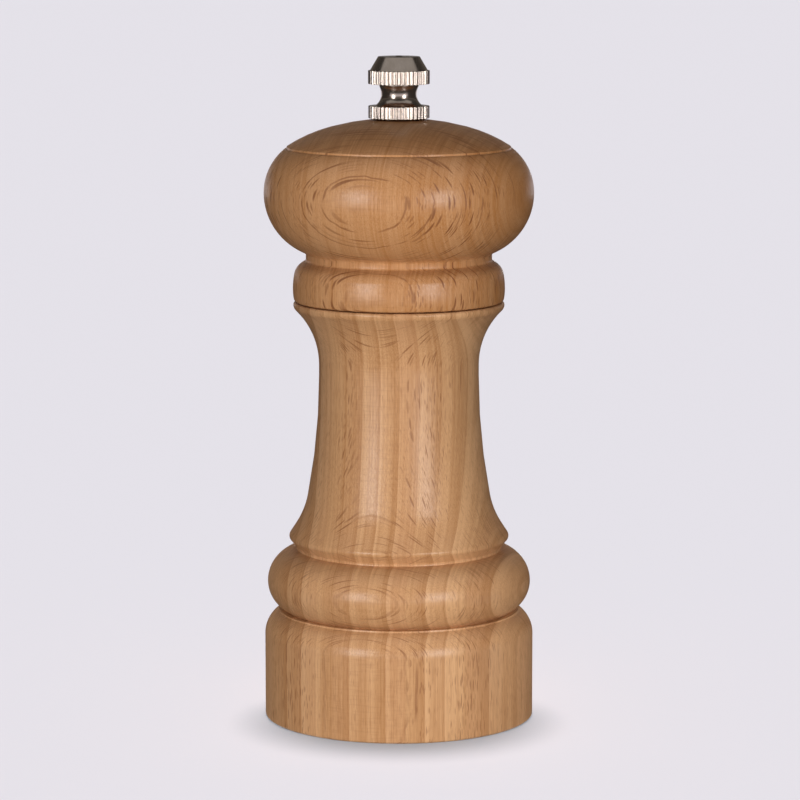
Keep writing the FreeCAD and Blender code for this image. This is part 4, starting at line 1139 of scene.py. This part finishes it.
spin_strip(around(0, cad_high.x, FLAG_LIFT), around(0, APRON_RADIUS, FLAG_LIFT), 360)
flag_wall(FLAG_START, FLAG_TURN, FLAG_HEIGHT)
flag_wall(-FLAG_START, -FLAG_TURN, FLAG_HEIGHT)
flag_wall(BACK_START, 360 - 2 * BACK_START, BACK_HEIGHT)
flag = finished(flag_bm, "dark_flag")
flag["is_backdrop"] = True
flag.visible_camera = False
flag.visible_diffuse = False
flag.visible_shadow = False
flag_cloth, _, flag_shader, _ = new_material("flag_cloth")
make_matt(flag_shader, CLOTH_COLOUR)
flag.data.materials.append(flag_cloth)

# %% [markdown]
# Light on the floor
#
# The floor has two lamps of its own. A warm key from almost straight above casts the soft contact
# shadow. A cool fill casts none, so its light stays in the shadow and balances the orange that the wood
# throws on the floor. Where both fall, they add up to white.

# %% Floor lamps
SUN_SPREAD = 9


def floor_sun(name, colour, strength, lean, shadow):
    """A distant lamp for the floor alone; it leans from behind the mill by some degrees."""
    data = bpy.data.lights.new(name, "SUN")
    data.color = colour
    data.energy = strength
    data.angle = math.radians(SUN_SPREAD)
    data.use_shadow = shadow
    lamp = bpy.data.objects.new(name, data)
    bpy.context.scene.collection.objects.link(lamp)
    lamp.rotation_euler = (math.radians(-lean), 0, 0)
    lamp.light_linking.receiver_collection = FLOOR
    print(name, "has strength", strength)


floor_sun("floor_key", colour=(1.105, 0.985, 0.942), strength=1.95, lean=4.5, shadow=True)
floor_sun("floor_fill", colour=(0.80, 1.03, 1.11), strength=1.03, lean=0, shadow=False)

# %% [markdown]
# The room
#
# The world stands for everything else. It gives the wood a faint even light, and the camera sees it in
# the floor's own colour, so no horizon shows. Reflections see a studio instead: the pale floor sweeps
# up at the horizon into walls that grow darker with height.

# %% World
ROOM = (0.05, 0.05, 0.05, 1)
LOW_WALLS = (0.16, 0.145, 0.13, 1)
HIGH_WALLS = (0.05, 0.047, 0.044, 1)
SWEEP = (0.0, 0.06)
WALLS = (0.0, 0.6)

world = bpy.data.worlds.new("studio")
bpy.context.scene.world = world
world.use_nodes = True
sky = world.node_tree
way = add_node(sky, "ShaderNodeTexCoord").outputs["Generated"]
rise = axes(sky, way)["Z"]
walls = mixed(sky, ramp(sky, rise, WALLS), LOW_WALLS, HIGH_WALLS)
studio = mixed(sky, ramp(sky, rise, SWEEP), FLOOR_COLOUR, walls)
path = add_node(sky, "ShaderNodeLightPath").outputs
mirrored = maths(sky, "MAXIMUM", path["Is Glossy Ray"], path["Is Transmission Ray"])
sky_colour = mixed(sky, mirrored, ROOM, studio)
sky_colour = mixed(sky, path["Is Camera Ray"], sky_colour, FLOOR_COLOUR)
sky.links.new(sky_colour, sky.nodes["Background"].inputs["Color"])
print("the room uses", len(sky.nodes), "nodes")
